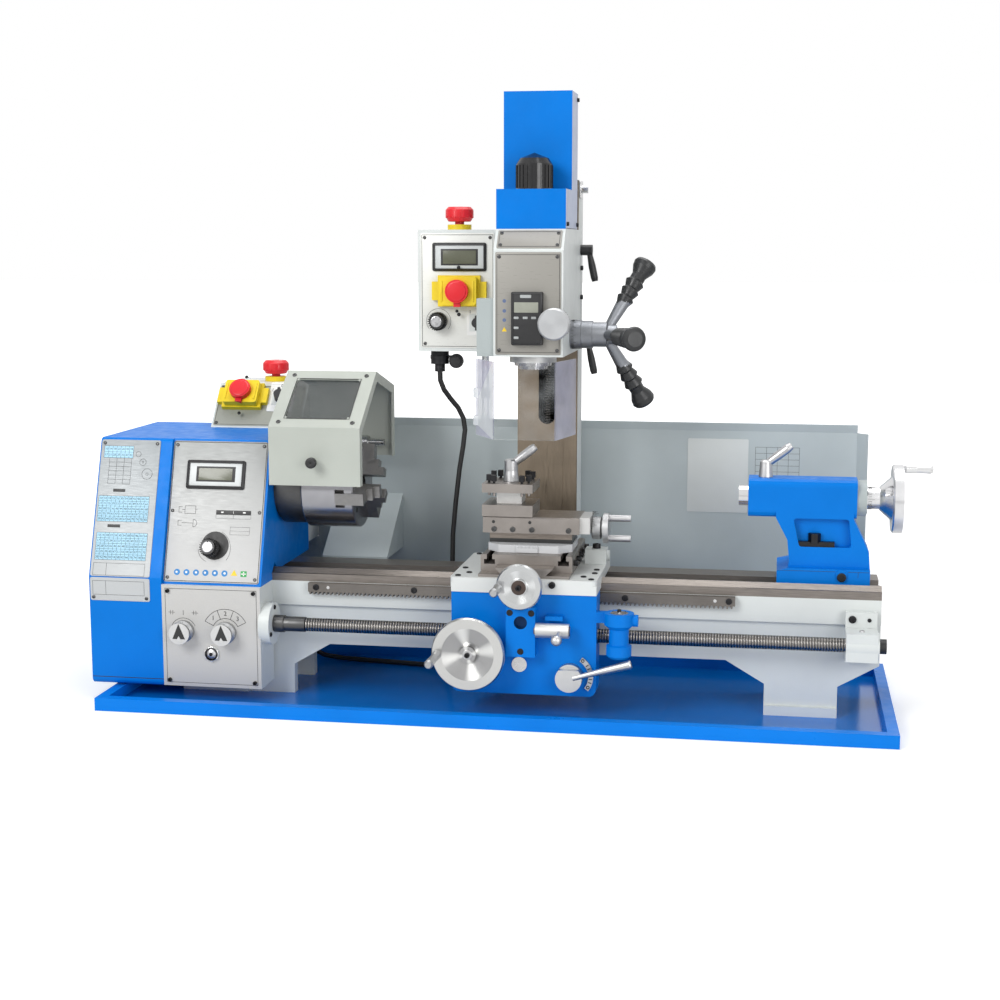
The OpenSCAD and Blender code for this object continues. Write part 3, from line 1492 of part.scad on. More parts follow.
// Column: a dovetailed post on a foot behind the bed, slotted for the lifting screw
module way_plan(c) {
  f = column_w / 2 + c;
  r = f - undercut;
  polygon([[-f, -c], [f, -c], [r, way_d], [-r, way_d]]);
}

module column() {
  back = column_y + way_d + column_d;
  b = column_w / 2 - land_t;
  color("gainsboro") translate([mill_x, 0, 0]) difference() {
    union() {
      along_z(floor_z, column_top) translate([0, column_y + land_t]) way_plan(0);
      block([-b, column_y + way_d, floor_z], [b, back, column_top]);
      block([-land_w / 2, column_y, foot_top], [land_w / 2, column_y + way_d, column_top - land_w]);
      block([-foot_w / 2, bed_w / 2, floor_z], [foot_w / 2, back, foot_top]);
    }
    along_y(column_y - cut, column_y + slot_d) {
      for (z = [slot_z0 + slot_w / 2, slot_z1 - slot_w / 2]) translate([0, z]) circle(r = slot_w / 2);
      translate([-slot_w / 2, slot_z0 + slot_w / 2]) square([slot_w, slot_z1 - slot_z0 - slot_w]);
    }
    rod_z(slot_z0 - slot_w, slot_z1 + slot_w, 0, lift_y, lift_r + fit);
    rod_x(-cut, column_w, lift_shaft_y, lift_shaft_z, lift_shaft_r + fit);
  }
}

// Lifting screw inside the slot, and the crank's shaft end above it
module lift_screw() {
  color("dimgray") rod_z(slot_z0 - slot_w + cut, slot_z1 + slot_w - cut, mill_x, lift_y, lift_r);
}

module lift_shaft() {
  x = mill_x + column_w / 2;
  color("silver") {
    rod_x(x - lift_shaft_l, x + gap, lift_shaft_y, lift_shaft_z, lift_shaft_r);
    rod_x(x, x + gap + relief + cut, lift_shaft_y, lift_shaft_z, crank_end_r - relief);
    rod_x(x + gap + relief, x + gap + relief + lift_shaft_out, lift_shaft_y, lift_shaft_z, crank_end_r);
  }
}

// Mill head: it clamps round the dovetail, holds the quill and carries the lift nut
module mill_head() {
  w = mill_w / 2;
  y1 = head_y1 - gap;
  upper = head_top_z - name_h;
  color("gainsboro") difference() {
    union() {
      translate([mill_x, 0, 0]) {
        along_x(-w, w) polygon([[-mill_front, mill_z], [y1, mill_z], [y1, head_top_z],
          [-mill_front + name_back, head_top_z], [-mill_front, upper]]);
        rod_z(mill_z - collar_h, mill_z + cut, 0, -mill_reach, quill_ring_r);
      }
      block([mill_x - w - bracket_w, pivot_y - bracket_d / 2, mill_z],
        [mill_x - w + cut, pivot_y + bracket_d / 2, mill_z + bracket_h]);
      rod_x(mill_x + w - cut, mill_x + w + dial_l / 2, 0, hub_z, dial_r);
      rod_y(-mill_front - rib_t, -mill_front + cut, fine_x, fine_z, fine_r / 2);
    }
    translate([mill_x, column_y + land_t, mill_z - cut]) linear_extrude(mill_h + cut * 2) {
      way_plan(fit);
      translate([-column_w, way_d - gap * 2]) square([column_w * 2, land_w]);
      translate([-land_w / 2 - fit, -land_t - fit]) square([land_w + fit * 2, land_w]);
    }
    rod_z(mill_z - collar_h - cut, quill_top() + stop_travel, mill_x, -mill_reach, mquill_r + fit);
    rod_z(quill_top(), head_top_z - cut * 2, mill_x, -mill_reach, mill_axle_r + cut);
    rod_x(mill_x + w - hub_shaft_l, mill_x + w + dial_l, 0, hub_z, hub_shaft_r + fit);
    rod_y(-mill_front - rib_t - cut, -mill_front + flange_l, fine_x, fine_z, fine_shaft_r + fit);
    for (z = [lock_upper_z, lock_lower_z])
      rod_x(mill_x + w - lock_stud_l - cut, mill_x + w + cut, lock_y, z, lock_stud_r + fit);
    rod_z(mill_z - cut, mill_z + bracket_h - jaw_in, pivot_x, pivot_y, pivot_r + fit);
  }
  color("gainsboro") lift_nut();
}

function quill_top() = mill_z + mill_h * quill_share;
module lift_nut() {
  z = mill_z + mill_h / 2;
  difference() {
    block([mill_x - nut_w / 2, column_y - cut, z - nut_h / 2],
      [mill_x + nut_w / 2, lift_y + lift_r + cut, z + nut_h / 2]);
    rod_z(z - nut_h, z + nut_h, mill_x, lift_y, lift_r + fit);
  }
}

// Drive cover: a tall part behind a low front part
module mill_drive_cover() {
  w = mill_w / 2;
  z = head_top_z;
  color("royalblue") translate([mill_x, 0, 0]) {
    along_x(-w, w) polygon([[-drive_front, z], [drive_back, z], [drive_back, z + drive_h], [0, z + drive_h],
      [0, z + drive_step], [-drive_front, z + drive_step]]);
  }
}

// Finned motor under a domed cap
module mill_motor() {
  z = head_top_z + drive_step;
  shoulder = motor_h - motor_dome;
  color("black") translate([mill_x, motor_y, z]) {
    rotate_extrude() polygon([[0, 0], [motor_r, 0], [motor_r, shoulder], [motor_r * grip_share, motor_h],
      [0, motor_h + motor_dome]]);
    for (i = [0:motor_fins * 2 - 1]) rotate([0, 0, i * 180 / motor_fins])
      block([motor_r - fin_d, -fin_d / 4, fin_d], [motor_r + fin_d / 2, fin_d / 4, shoulder - fin_d]);
  }
}

// Mill quill and the spindle that turns inside it
module mill_quill() {
  z0 = mill_z - collar_h - quill_nose + mill_nose_h;
  color("silver") difference() {
    rod_z(z0, quill_top(), mill_x, -mill_reach, mquill_r);
    rod_z(z0 - cut, quill_top() + cut, mill_x, -mill_reach, mill_axle_r + fit);
  }
}

module mill_spindle() {
  z0 = mill_z - collar_h - quill_nose;
  color("dimgray") difference() {
    union() {
      rod_z(z0 + mill_nose_h - cut, quill_top() + mill_axle_r, mill_x, -mill_reach, mill_axle_r);
      rod_z(z0, z0 + mill_nose_h - gap, mill_x, -mill_reach, mill_nose_r);
    }
    translate([mill_x, -mill_reach, z0 - fit])
      cylinder(h = mill_h / 3, r1 = taper_r, r2 = taper_r * grip_share);
  }
}

// Feed hub: dial, hub and three leaning spokes with bulbous grips that end in a knob
module quill_feed_hub() {
  x = mill_x + mill_w / 2 + dial_l / 2 + gap;
  color("dimgray") translate([x, 0, hub_z]) rotate([0, 90, 0]) {
    rod_z(-hub_shaft_l - dial_l / 3, cut, 0, 0, hub_shaft_r);
    rod_z(0, dial_l / 2, 0, 0, dial_r - cut / 2);
    rod_z(dial_l / 2 - cut, dial_l / 2 + hub_l, 0, 0, hub_r);
    rod_z(dial_l / 2, dial_l / 2 + hub_l + cut, 0, 0, clutch_neck_r);
    rod_z(dial_l / 2 + hub_l + cut, dial_l / 2 + hub_l + cut + clutch_l, 0, 0, clutch_r);
    for (i = [0:2]) rotate([0, 0, spoke_phase + i * 120]) translate([0, 0, dial_l / 2 + hub_l * grip_share])
      rotate([0, 90 - spoke_lean_deg, 0]) spoke();
  }
}

module spoke() {
  l = spoke_l + hub_r;
  rotate_extrude() polygon(concat([[0, 0], [spoke_r, 0]],
    [for (s = bulb_shares) [grip_r * s.y, l + grip_l * s.x]], [[0, l + grip_l]]));
}

module fine_feed_knob() {
  y = -mill_front - rib_t - gap;
  color("silver") translate([fine_x, y, fine_z]) rotate([90, 0, 0]) {
    rod_z(-rib_t - flange_l + cut, cut, 0, 0, fine_shaft_r);
    rod_z(0, fine_neck_l, 0, 0, fine_r / 2);
    translate([0, 0, fine_neck_l]) rotate_extrude($fn = 72) polygon([[0, 0], [fine_r - cut, 0], [fine_r, cut],
      [fine_r, fine_l - cut], [fine_r - cut, fine_l], [0, fine_l]]);
  }
}

// Head lock levers on the right side of the head
module head_lock(z) {
  x = mill_x + mill_w / 2;
  color("dimgray") translate([x, lock_y, z]) rotate([0, 90, 0]) {
    rod_z(-lock_stud_l, cut, 0, 0, lock_stud_r);
    rod_z(gap, lock_boss_l, 0, 0, lock_boss_r);
    translate([0, 0, lock_boss_l - lock_arm_r0]) rotate([0, 90 - lock_arm_deg, 0])
      lever_rod(lock_arm_l, lock_arm_r0, lock_arm_r1);
  }
}

module head_lock_upper() head_lock(lock_upper_z);
module head_lock_lower() head_lock(lock_lower_z);

// Clear mill guard bent round the cutter, clamped to the rod it swings on
module mill_guard() {
  p = [mguard_left, [mill_x - mguard_half, mguard_front_y],
    [mill_x + mguard_half, mguard_front_y], mguard_right];
  reach = pivot_r + cut;
  color("lightcyan") {
    along_z(mguard_z0, mguard_z1) polygon(sheet(p, mguard_t));
    rod_z(mguard_z0, mill_z + bracket_h - jaw_in - cut, pivot_x, pivot_y, pivot_r);
    for (z = [mguard_z0 + band_h, mguard_z1 - band_h * 4])
      along_z(z, z + band_h) polygon([[mguard_left.x, mguard_left.y + band_w / 2],
        [mguard_left.x - band_w / 4, mguard_left.y - band_w / 2],
        [pivot_x, pivot_y - reach], [pivot_x + reach, pivot_y], [pivot_x, pivot_y + reach]]);
  }
}

chip_tray();
bed();
rack();
headstock();
gearbox();
end_cover();
splash_guard();
electrics_box();
switch_housings();
column();
mill_control_box();
control_cable();
spindle();
chuck_body();
chuck_jaw_1();
chuck_jaw_2();
chuck_jaw_3();
chuck_guard();
guard_window();
lathe_speed_knob();
lathe_direction_switch();
lathe_stop_button();
lathe_switch_lid();
feed_direction_knob();
feed_range_knob();
leadscrew();
saddle();
apron();
apron_handwheel();
half_nut_lever();
feed_lever();
thread_dial();
cross_slide();
cross_handwheel();
swivel_base();
top_slide();
top_slide_handle();
tool_post();
tool_post_lever();
tailstock_base();
tailstock_body();
tailstock_quill();
tailstock_handwheel();
quill_lock_lever();
mill_head();
mill_drive_cover();
mill_motor();
mill_quill();
mill_spindle();
quill_feed_hub();
fine_feed_knob();
head_lock_upper();
head_lock_lower();
mill_guard();
lift_screw();
lift_shaft();
mill_stop_button();
mill_switch_lid();
mill_speed_knob();
mill_direction_switch();
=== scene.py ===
import math

import bpy
from mathutils import Matrix, Vector


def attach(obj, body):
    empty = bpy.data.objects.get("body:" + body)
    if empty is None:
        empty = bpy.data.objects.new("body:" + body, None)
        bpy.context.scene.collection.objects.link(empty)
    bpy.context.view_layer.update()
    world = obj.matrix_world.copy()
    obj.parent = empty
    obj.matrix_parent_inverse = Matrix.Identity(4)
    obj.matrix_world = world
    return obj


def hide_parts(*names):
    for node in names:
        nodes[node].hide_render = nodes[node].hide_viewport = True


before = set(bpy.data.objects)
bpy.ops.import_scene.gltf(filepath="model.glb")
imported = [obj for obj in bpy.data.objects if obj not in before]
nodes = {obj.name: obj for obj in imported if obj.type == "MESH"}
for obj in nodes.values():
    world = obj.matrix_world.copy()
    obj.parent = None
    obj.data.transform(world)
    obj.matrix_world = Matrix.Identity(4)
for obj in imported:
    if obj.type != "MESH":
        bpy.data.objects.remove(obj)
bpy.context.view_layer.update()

# Places that several pieces share, in metres: x to the tailstock end, y to the back, z up
SPINDLE_Z = 0.313
HEADSTOCK_X = -0.41825
GEARBOX_FRONT = -0.130
KNOB_Z, DIRECTION_X, RANGE_X = 0.108, -0.461, -0.396
SIGHT_X, SIGHT_Z = -0.418, 0.075
LEADSCREW_Y, LEADSCREW_Z = -0.105, 0.119
BORE_X, BORE_Z = 0.048, 0.144
WHEEL_X, WHEEL_Z = -0.025, 0.099
CROSS_X, CROSS_Z = 0.048, 0.19805
LEVER_X, LEVER_Z = 0.117, 0.064
MILL_X, HUB_Z = 0.049, 0.545
FINE_X, FINE_Z = 0.090, 0.565

# Thin trim, measured from the face that carries it
INK = 0.0002
INK_EDGE = 0.00004
PLATE = 0.0011
PANEL = 0.0012

# Camera, at the photograph's place
TILT, TURN = 81.355, 9.578
bpy.ops.object.camera_add(location=(0.4025, -2.4241, 0.6703), rotation=(math.radians(TILT), 0, math.radians(TURN)))
camera = bpy.context.object
camera.name = "camera"
camera.data.lens = 59.695
camera.data.sensor_width = 36
camera.data.dof.use_dof = False
bpy.context.scene.camera = camera
bpy.context.scene.view_settings.view_transform = "Standard"


# ---- finishes ----
def grey(value):
    return (value, value, value)


def shade(colour, factor):
    return [min(1, c * factor) for c in colour]


class Tree:
    """A node tree under construction."""

    def __init__(self, tree):
        self.tree = tree

    def feed(self, socket, value):
        """Links an output into a socket, or sets the socket to a plain value."""
        if isinstance(value, bpy.types.NodeSocket):
            self.tree.links.new(value, socket)
        else:
            socket.default_value = value

    def add(self, kind, inputs=None, **options):
        made = self.tree.nodes.new("ShaderNode" + kind)
        for option, value in options.items():
            setattr(made, option, value)
        for socket, value in (inputs or {}).items():
            self.feed(made.inputs[socket], value)
        return made

    def maths(self, operation, *values):
        return self.add("Math", dict(enumerate(values)), operation=operation).outputs[0]


class Finish(Tree):
    """A material under construction, with what drives its surface."""

    def __init__(self, name, metallic=0.0):
        self.material = bpy.data.materials.new(name)
        self.material.use_nodes = True
        super().__init__(self.material.node_tree)
        self.surface = self.tree.nodes["Principled BSDF"].inputs
        self.surface["Metallic"].default_value = metallic
        self.here = self.point()

    def point(self, stretch=(1, 1, 1), centre=(0, 0, 0)):
        """A place on the object, measured from a centre and stretched along its axes."""
        shift = [-c * s for c, s in zip(centre, stretch)]
        origin = self.add("TexCoord").outputs["Object"]
        return self.add("Mapping", {"Location": shift, "Scale": stretch, "Vector": origin}).outputs["Vector"]

    def height(self):
        return self.add("SeparateXYZ", {"Vector": self.here}).outputs["Z"]

    def noise(self, scale, detail=3, point=None):
        texture = {"Scale": scale, "Detail": detail, "Vector": point or self.here}
        return self.add("TexNoise", texture).outputs["Fac"]

    def ramp(self, factor, low, high, start=0.3, end=0.7):
        steps = self.add("ValToRGB", {"Fac": factor})
        for element, place, colour in zip(steps.color_ramp.elements, (start, end), (low, high)):
            element.position = place
            element.color = (*colour, 1)
        return steps.outputs["Color"]

    def mix(self, factor, low, high):
        """One of two colours, outputs or plain values, as the factor says."""
        made = self.add("Mix", {"Factor": factor}, data_type="RGBA")
        for socket, value in zip([s for s in made.inputs if s.type == "RGBA"], (low, high)):
            self.feed(socket, value if isinstance(value, bpy.types.NodeSocket) else (*value, 1))
        return [s for s in made.outputs if s.type == "RGBA"][0]

    def colour(self, factor, low, high, *span):
        self.feed(self.surface["Base Color"], self.ramp(factor, low, high, *span))

    def rough(self, factor, low, high, *span):
        self.feed(self.surface["Roughness"], self.ramp(factor, grey(low), grey(high), *span))

    def relief(self, height, depth):
        bump = self.add("Bump", {"Strength": 1.0, "Distance": depth, "Height": height})
        self.feed(self.surface["Normal"], bump.outputs["Normal"])


def paint(name, colour, gloss=0.32, peel=0.00012, shine=0.3, dull=0.1):
    """Sprayed machine paint: a little orange peel, faint clouding, and dust that dulls the gloss."""
    skin = Finish(name)
    skin.colour(skin.noise(9), shade(colour, 0.93), shade(colour, 1.05))
    skin.rough(skin.noise(60, 5), gloss - dull / 2, gloss + dull)
    skin.relief(skin.noise(420, 2), peel)
    skin.feed(skin.surface["Specular IOR Level"], shine)
    return skin.material


def satin(name, low, high, z0, z1, rough=0.34):
    """A satin metal plate with a fine brushed grain. Its colour changes from one value at height z0 to another at z1:
    painted reflection and shade that the plate itself does not have.
    """
    skin = Finish(name, 0.15)
    rise = skin.add("MapRange", {"From Min": z0, "From Max": z1, "Value": skin.height()})
    skin.colour(rise.outputs["Result"], low, high, 0, 1)
    lines = skin.noise(1400, 2, skin.point((0.05, 1, 1)))
    skin.rough(lines, rough * 0.8, rough * 1.3)
    skin.relief(lines, 0.00002)
    return skin.material


def metal(name, colour, rough, stretch=(1, 1, 1), grain=700, depth=0.00005, patina=0.12):
    """Bare metal with its cutting or grinding grain drawn out along one way."""
    skin = Finish(name, 1.0)
    skin.colour(skin.noise(30, 4), shade(colour, 1 - patina), shade(colour, 1 + patina / 2))
    lines = skin.noise(grain, 2, skin.point(stretch))
    skin.rough(lines, rough * 0.8, rough * 1.3)
    skin.relief(lines, depth)
    return skin.material


# A wave texture's scale times the distance between its waves
WAVE = 0.314


def turned(name, colour, rough, axis, centre, pitch):
    """Metal from a lathe: fine rings about its own axis."""
    skin = Finish(name, 1.0)
    texture = {"Scale": WAVE / pitch, "Distortion": 0.4, "Vector": skin.point(centre=centre)}
    rings = skin.add("TexWave", texture, wave_type="RINGS", rings_direction=axis).outputs["Fac"]
    skin.colour(skin.noise(40, 4), shade(colour, 0.88), colour)
    skin.rough(rings, rough * 0.85, rough * 1.2, 0, 1)
    skin.relief(rings, 0.00004)
    return skin.material


def spun(name, dark, light, centre, rim):
    """A dished handwheel: a bright turned rim, and a cone painted with a fan of highlights, the bright and dark beams
    of reflection that lathe-turned metal shows.
    """
    skin = Finish(name, 1.0)
    point = skin.point(centre=centre)
    parts = skin.add("SeparateXYZ", {"Vector": point}).outputs
    flat = skin.add("CombineXYZ", {"X": parts["X"], "Y": parts["Z"]}).outputs["Vector"]
    angle = skin.add("TexGradient", {"Vector": flat}, gradient_type="RADIAL").outputs["Fac"]
    # Painted highlights: the cone's colour gets brighter and darker in beams round the axis
    highlight_beams, first = 4, 0.6
    painted_highlight_fan = skin.maths("SINE", skin.maths("MULTIPLY_ADD", angle, highlight_beams * math.tau, first))
    cone = skin.ramp(painted_highlight_fan, dark, shade(light, 1.25), 0.1, 1)
    reach = skin.add("VectorMath", {0: flat}, operation="LENGTH").outputs["Value"]
    outside = skin.maths("GREATER_THAN", reach, rim)
    skin.feed(skin.surface["Base Color"], skin.mix(outside, cone, light))
    texture = {"Scale": 520, "Vector": point}
    rings = skin.add("TexWave", texture, wave_type="RINGS", rings_direction="Y").outputs["Fac"]
    skin.rough(rings, 0.2, 0.34, 0, 1)
    skin.relief(rings, 0.00003)
    return skin.material


def threaded(name, colour, rough, direction, pitch, depth):
    """A screw's thread drawn as close bands along its axis: the dark bands in the colour are painted shade in the
    thread's grooves, and the same bands drive the bump.
    """
    skin = Finish(name, 1.0)
    texture = {"Scale": WAVE / pitch, "Vector": skin.here}
    bands = skin.add("TexWave", texture, bands_direction=direction).outputs["Fac"]
    # Painted shade: the bands darken the colour where the thread's grooves fall into shade
    skin.colour(bands, shade(colour, 0.35), colour, 0.1, 0.8)
    skin.rough(skin.noise(90), rough * 0.8, rough * 1.2)
    skin.relief(bands, depth)
    return skin.material


def plastic(name, colour, rough=0.45, grain=900, depth=0.00006):
    """Moulded plastic with a fine tool texture."""
    skin = Finish(name)
    skin.colour(skin.noise(25), shade(colour, 0.9), colour)
    skin.rough(skin.noise(120), rough - 0.06, rough + 0.08)
    skin.relief(skin.noise(grain, 1), depth)
    return skin.material


def clear(name, colour, alpha, rough=0.06):
    """Clear sheet, thin and slightly dusty."""
    skin = Finish(name)
    dust = skin.noise(35, 6)
    skin.colour(dust, shade(colour, 0.95), colour)
    skin.feed(skin.surface["Alpha"], skin.ramp(dust, grey(alpha - 0.04), grey(alpha + 0.06)))
    skin.rough(dust, rough, rough + 0.10)
    return skin.material


def lit(name, colour, glow):
    """A display's lit glass, with its faint cell pattern."""
    skin = Finish(name)
    cells = skin.ramp(skin.noise(60), shade(colour, 0.9), colour)
    for socket, value in (("Base Color", cells), ("Emission Color", cells),
            ("Emission Strength", glow), ("Roughness", 0.2)):
        skin.feed(skin.surface[socket], value)
    skin.relief(skin.noise(1500, 1), 0.00002)
    return skin.material


def cut_casting(name, painted, bare, height):
    """Paint up to a height on the casting, ground iron above it. On the swivel the near-black colour below is a painted
    shadow, not paint.
    """
    skin = Finish(name)
    above = skin.maths("GREATER_THAN", skin.height(), height)
    grain = skin.noise(900, 2, skin.point((0.05, 1, 1)))
    coat = skin.ramp(skin.noise(12), shade(painted, 0.94), painted)
    iron = skin.ramp(grain, shade(bare, 0.75), bare)
    for socket, low, high in (("Base Color", coat, iron), ("Roughness", grey(0.36), grey(0.42)),
            ("Metallic", grey(0), grey(1))):
        skin.feed(skin.surface[socket], skin.mix(above, low, high))
    skin.relief(skin.noise(420, 2), 0.00012)
    return skin.material


blue = paint("blue_paint", (0.0, 0.165, 0.60), 0.36, shine=0.12)
tray_blue = paint("tray_paint", (0.0, 0.185, 0.68), 0.32, 0.00006, 0.15)
# Painted shade: the tray's floor is a darker copy of the tray's blue, and glossier
shaded_tray_floor = paint("tray_floor_paint", (0.0, 0.150, 0.55), 0.16, 0.000002, 0.35, 0.02)
# Painted shade: a near-black blue for the inside walls of the apron's bore
bore_shade_blue = paint("bore_shade_blue", (0.0, 0.035, 0.13), 0.5)
pale = paint("pale_paint", (0.62, 0.65, 0.64), 0.36)
guard_pale = paint("guard_paint", (0.415, 0.44, 0.40), 0.4)
bracket_pale = paint("bracket_paint", (0.36, 0.40, 0.40), 0.4)
splash_grey = paint("splash_paint", (0.46, 0.515, 0.525), 0.42)
lilac = paint("cover_side_paint", (0.44, 0.485, 0.62), 0.4)
plate_light = paint("swivel_plate_satin", (0.56, 0.57, 0.585), 0.34, 0.00001, 0.5)

slide_iron = metal("slide_iron", (0.30, 0.275, 0.255), 0.40, (1, 0.06, 1), 900)
column_ways = metal("column_ways", (0.25, 0.205, 0.155), 0.46, (1, 1, 0.05), 700)
# Painted shade: the inside of the lifting screw's slot is coloured near black
slot_shade = metal("slot_shade", (0.022, 0.019, 0.017), 0.6, grain=300)
rack_steel = metal("rack_steel", (0.17, 0.157, 0.145), 0.45, (0.1, 1, 1), 600)
steel = metal("ground_steel", (0.62, 0.62, 0.62), 0.28, (0.2, 1, 1), 900)
bright = metal("polished_steel", (0.80, 0.80, 0.80), 0.16, (1, 1, 1), 300, 0.00002, 0.06)
face_steel = metal("face_steel", (0.58, 0.58, 0.57), 0.46, (1, 1, 1), 1200, 0.00002, 0.05)
lever_steel = metal("lever_steel", (0.50, 0.50, 0.505), 0.36, (1, 1, 1), 500, 0.00001)
handle_steel = metal("handle_steel", (0.40, 0.405, 0.41), 0.40, (1, 1, 1), 500, 0.00001)
dark_steel = metal("blackened_steel", (0.10, 0.10, 0.10), 0.38, (1, 1, 1), 300, 0.00003)
black_iron = metal("screw_black", (0.035, 0.035, 0.037), 0.42, (1, 1, 1), 300, 0.00003)
washer_brown = metal("washer_brown", (0.09, 0.07, 0.062), 0.5, grain=300)
hub_grey = metal("hub_grey", (0.27, 0.28, 0.30), 0.42, (1, 1, 1), 500, 0.00004)
aluminium = metal("dish_aluminium", (0.50, 0.50, 0.51), 0.30, (1, 1, 1), 260, 0.00001, 0.06)

black = plastic("black_plastic", (0.012, 0.012, 0.013), 0.42)
glossy_black = plastic("glossy_black", (0.008, 0.008, 0.009), 0.14, 300, 0.00001)
grip_black = plastic("grip_plastic", (0.016, 0.017, 0.018), 0.36)
lead_black = plastic("lead_rubber", (0.014, 0.014, 0.014), 0.55)
yellow = plastic("yellow_plastic", (0.80, 0.60, 0.01), 0.4)
red = plastic("red_plastic", (0.70, 0.008, 0.018), 0.34)
display_grey = plastic("display_grey", (0.58, 0.61, 0.61), 0.4)
key_grey = plastic("key_grey", (0.36, 0.38, 0.38), 0.5)
knob_silver = plastic("knob_face_silver", (0.56, 0.56, 0.55), 0.35)
white = plastic("white_ink", (0.80, 0.80, 0.78), 0.5)
print_black = plastic("black_ink", (0.015, 0.015, 0.015), 0.5)
print_blue = plastic("blue_ink", (0.02, 0.20, 0.50), 0.5)
mark_blue = plastic("dull_blue_ink", (0.10, 0.14, 0.26), 0.5)
table_blue = plastic("table_ink", (0.36, 0.62, 0.78), 0.5)
print_green = plastic("green_ink", (0.02, 0.32, 0.07), 0.5)
print_yellow = plastic("yellow_ink", (0.80, 0.55, 0.02), 0.5)

# Painted reflection and shade: the panel and cover plates are bright at the bottom and dark at the top, and the other
# plates change a little with height
face_plate = satin("panel_plate", (0.465, 0.465, 0.46), (0.25, 0.26, 0.255), 0.20, 0.39, 0.44)
cover_silver = satin("cover_plate_satin", (0.46, 0.475, 0.48), (0.25, 0.27, 0.28), 0.16, 0.38, 0.44)
gear_silver = satin("gear_plate_satin", (0.48, 0.475, 0.46), (0.50, 0.495, 0.48), 0.02, 0.18, 0.44)
electrics_silver = satin("electrics_plate_satin", (0.33, 0.335, 0.285), (0.30, 0.305, 0.26), 0.34, 0.42)
box_silver = satin("box_plate_satin", (0.72, 0.725, 0.69), (0.66, 0.665, 0.63), 0.45, 0.70)
head_silver = satin("head_plate_satin", (0.275, 0.265, 0.240), (0.285, 0.275, 0.250), 0.52, 0.70)

screen = lit("screen_glass", (0.105, 0.110, 0.075), 0.05)
readout_glass = lit("readout_glass", (0.30, 0.31, 0.26), 0.05)
# Painted light: the oil sight glass is given a faint glow of its own, though it is no lamp
oil = lit("oil_glass", (0.30, 0.22, 0.05), 0.1)
pane = clear("clear_sheet", (0.86, 0.90, 0.92), 0.0)
# Painted reflection: the side panes get a bluish haze that the front pane lacks, for the clear sheet seen at a slant
pane_side_sheen = clear("clear_sheet_side", (0.50, 0.51, 0.62), 0.56)
pane_edge = clear("clear_sheet_edge", (0.70, 0.73, 0.76), 0.62)
window = clear("window_sheet", (0.035, 0.043, 0.041), 0.67, 0.30)

screw_thread = threaded("leadscrew_thread", (0.30, 0.285, 0.27), 0.26, "X", 0.004, 0.0011)
# Painted shade: the lifting screw is coloured near black for the shade of the slot it turns in
shaded_lift_thread = threaded("shaded_lift_thread", (0.07, 0.065, 0.06), 0.4, "Z", 0.004, 0.0009)
chuck_steel = turned("chuck_steel", (0.36, 0.36, 0.38), 0.26, "X", (0, 0, SPINDLE_Z), 0.0012)
quill_steel = turned("quill_steel", (0.72, 0.72, 0.72), 0.18, "X", (0, 0, SPINDLE_Z), 0.001)
wheel_dish = turned("wheel_rings", (0.80, 0.80, 0.81), 0.22, "X", (0, 0, SPINDLE_Z), 0.0012)
mill_steel = turned("mill_spindle_steel", (0.55, 0.55, 0.56), 0.22, "Z", (MILL_X, -0.04, 0), 0.001)
fine_dish = turned("fine_knob_rings", (0.50, 0.51, 0.52), 0.38, "Y", (FINE_X, 0, FINE_Z), 0.001)
dish = spun("dish_rings", (0.36, 0.36, 0.36), (0.60, 0.60, 0.585), (WHEEL_X, 0, WHEEL_Z), 0.038)
cross_dish = spun("cross_dish_rings", (0.53, 0.54, 0.54), (0.55, 0.56, 0.56), (CROSS_X, 0, CROSS_Z), 0.024)

SLIDE_FOOT, SWIVEL_TOP, BED_TOP = 0.2035, 0.2480, 0.1765
bed_finish = cut_casting("bed_casting", (0.62, 0.65, 0.64), (0.25, 0.225, 0.205), BED_TOP)
# Painted shadow: on the swivel, the near-black below SWIVEL_TOP is the dark gap above its plate
swivel_shadow_and_iron = cut_casting("swivel_casting", (0.02, 0.02, 0.02), (0.27, 0.235, 0.205), SWIVEL_TOP)
saddle_finish = cut_casting("saddle_casting", (0.66, 0.68, 0.67), (0.33, 0.31, 0.29), SLIDE_FOOT)


# ---- the construction's own pieces: each gets a finish, and its faces other finishes where a test picks them ----
def paint_node(name, base, *regions):
    """Regions are pairs of a finish and a test on a face's centre and normal. The last that fits is used."""
    mesh = nodes[name].data
    mesh.materials.clear()
    for material in (base, *(material for material, _ in regions)):
        mesh.materials.append(material)
    for face in mesh.polygons:
        face.material_index = 0
        for index, (_, test) in enumerate(regions, 1):
            if test(face.center, face.normal):
                face.material_index = index


def near(axes, a, b, radius, also=lambda c, n: True):
    """Picks faces near an axis, given by where it crosses the plane of two directions such as xz."""
    first, second = ("xyz".index(axis) for axis in axes)
    return lambda c, n: math.hypot(c[first] - a, c[second] - b) < radius and also(c, n)


PLAIN = {
    bed_finish: ("bed",), rack_steel: ("rack",), splash_grey: ("splash_guard",), yellow: ("switch_housings",),
    blue: ("end_cover",), pale: ("mill_control_box",), dark_steel: ("spindle",), chuck_steel: ("chuck_body",),
    window: ("guard_window",), red: ("lathe_stop_button", "mill_stop_button"),
    black: ("lathe_speed_knob", "mill_speed_knob", "lathe_direction_switch", "mill_direction_switch",
        "head_lock_upper", "head_lock_lower"),
    handle_steel: ("feed_direction_knob", "feed_range_knob"), steel: ("thread_dial",), slide_iron: ("cross_slide",),
    lever_steel: ("tool_post_lever", "quill_lock_lever"), quill_steel: ("tailstock_quill",),
    glossy_black: ("mill_motor",), mill_steel: ("mill_quill", "mill_spindle"), fine_dish: ("fine_feed_knob",),
    shaded_lift_thread: ("lift_screw",), bright: ("lift_shaft",), lead_black: ("control_cable",)}
for material, names in PLAIN.items():
    for name in names:
        paint_node(name, material)
for number in (1, 2, 3):
    jaw_steel = metal("jaw_steel_%d" % number, (0.27, 0.265, 0.26), 0.42, (1, 1, 1), 200, 0.000001, 0.04)
    paint_node("chuck_jaw_%d" % number, jaw_steel)

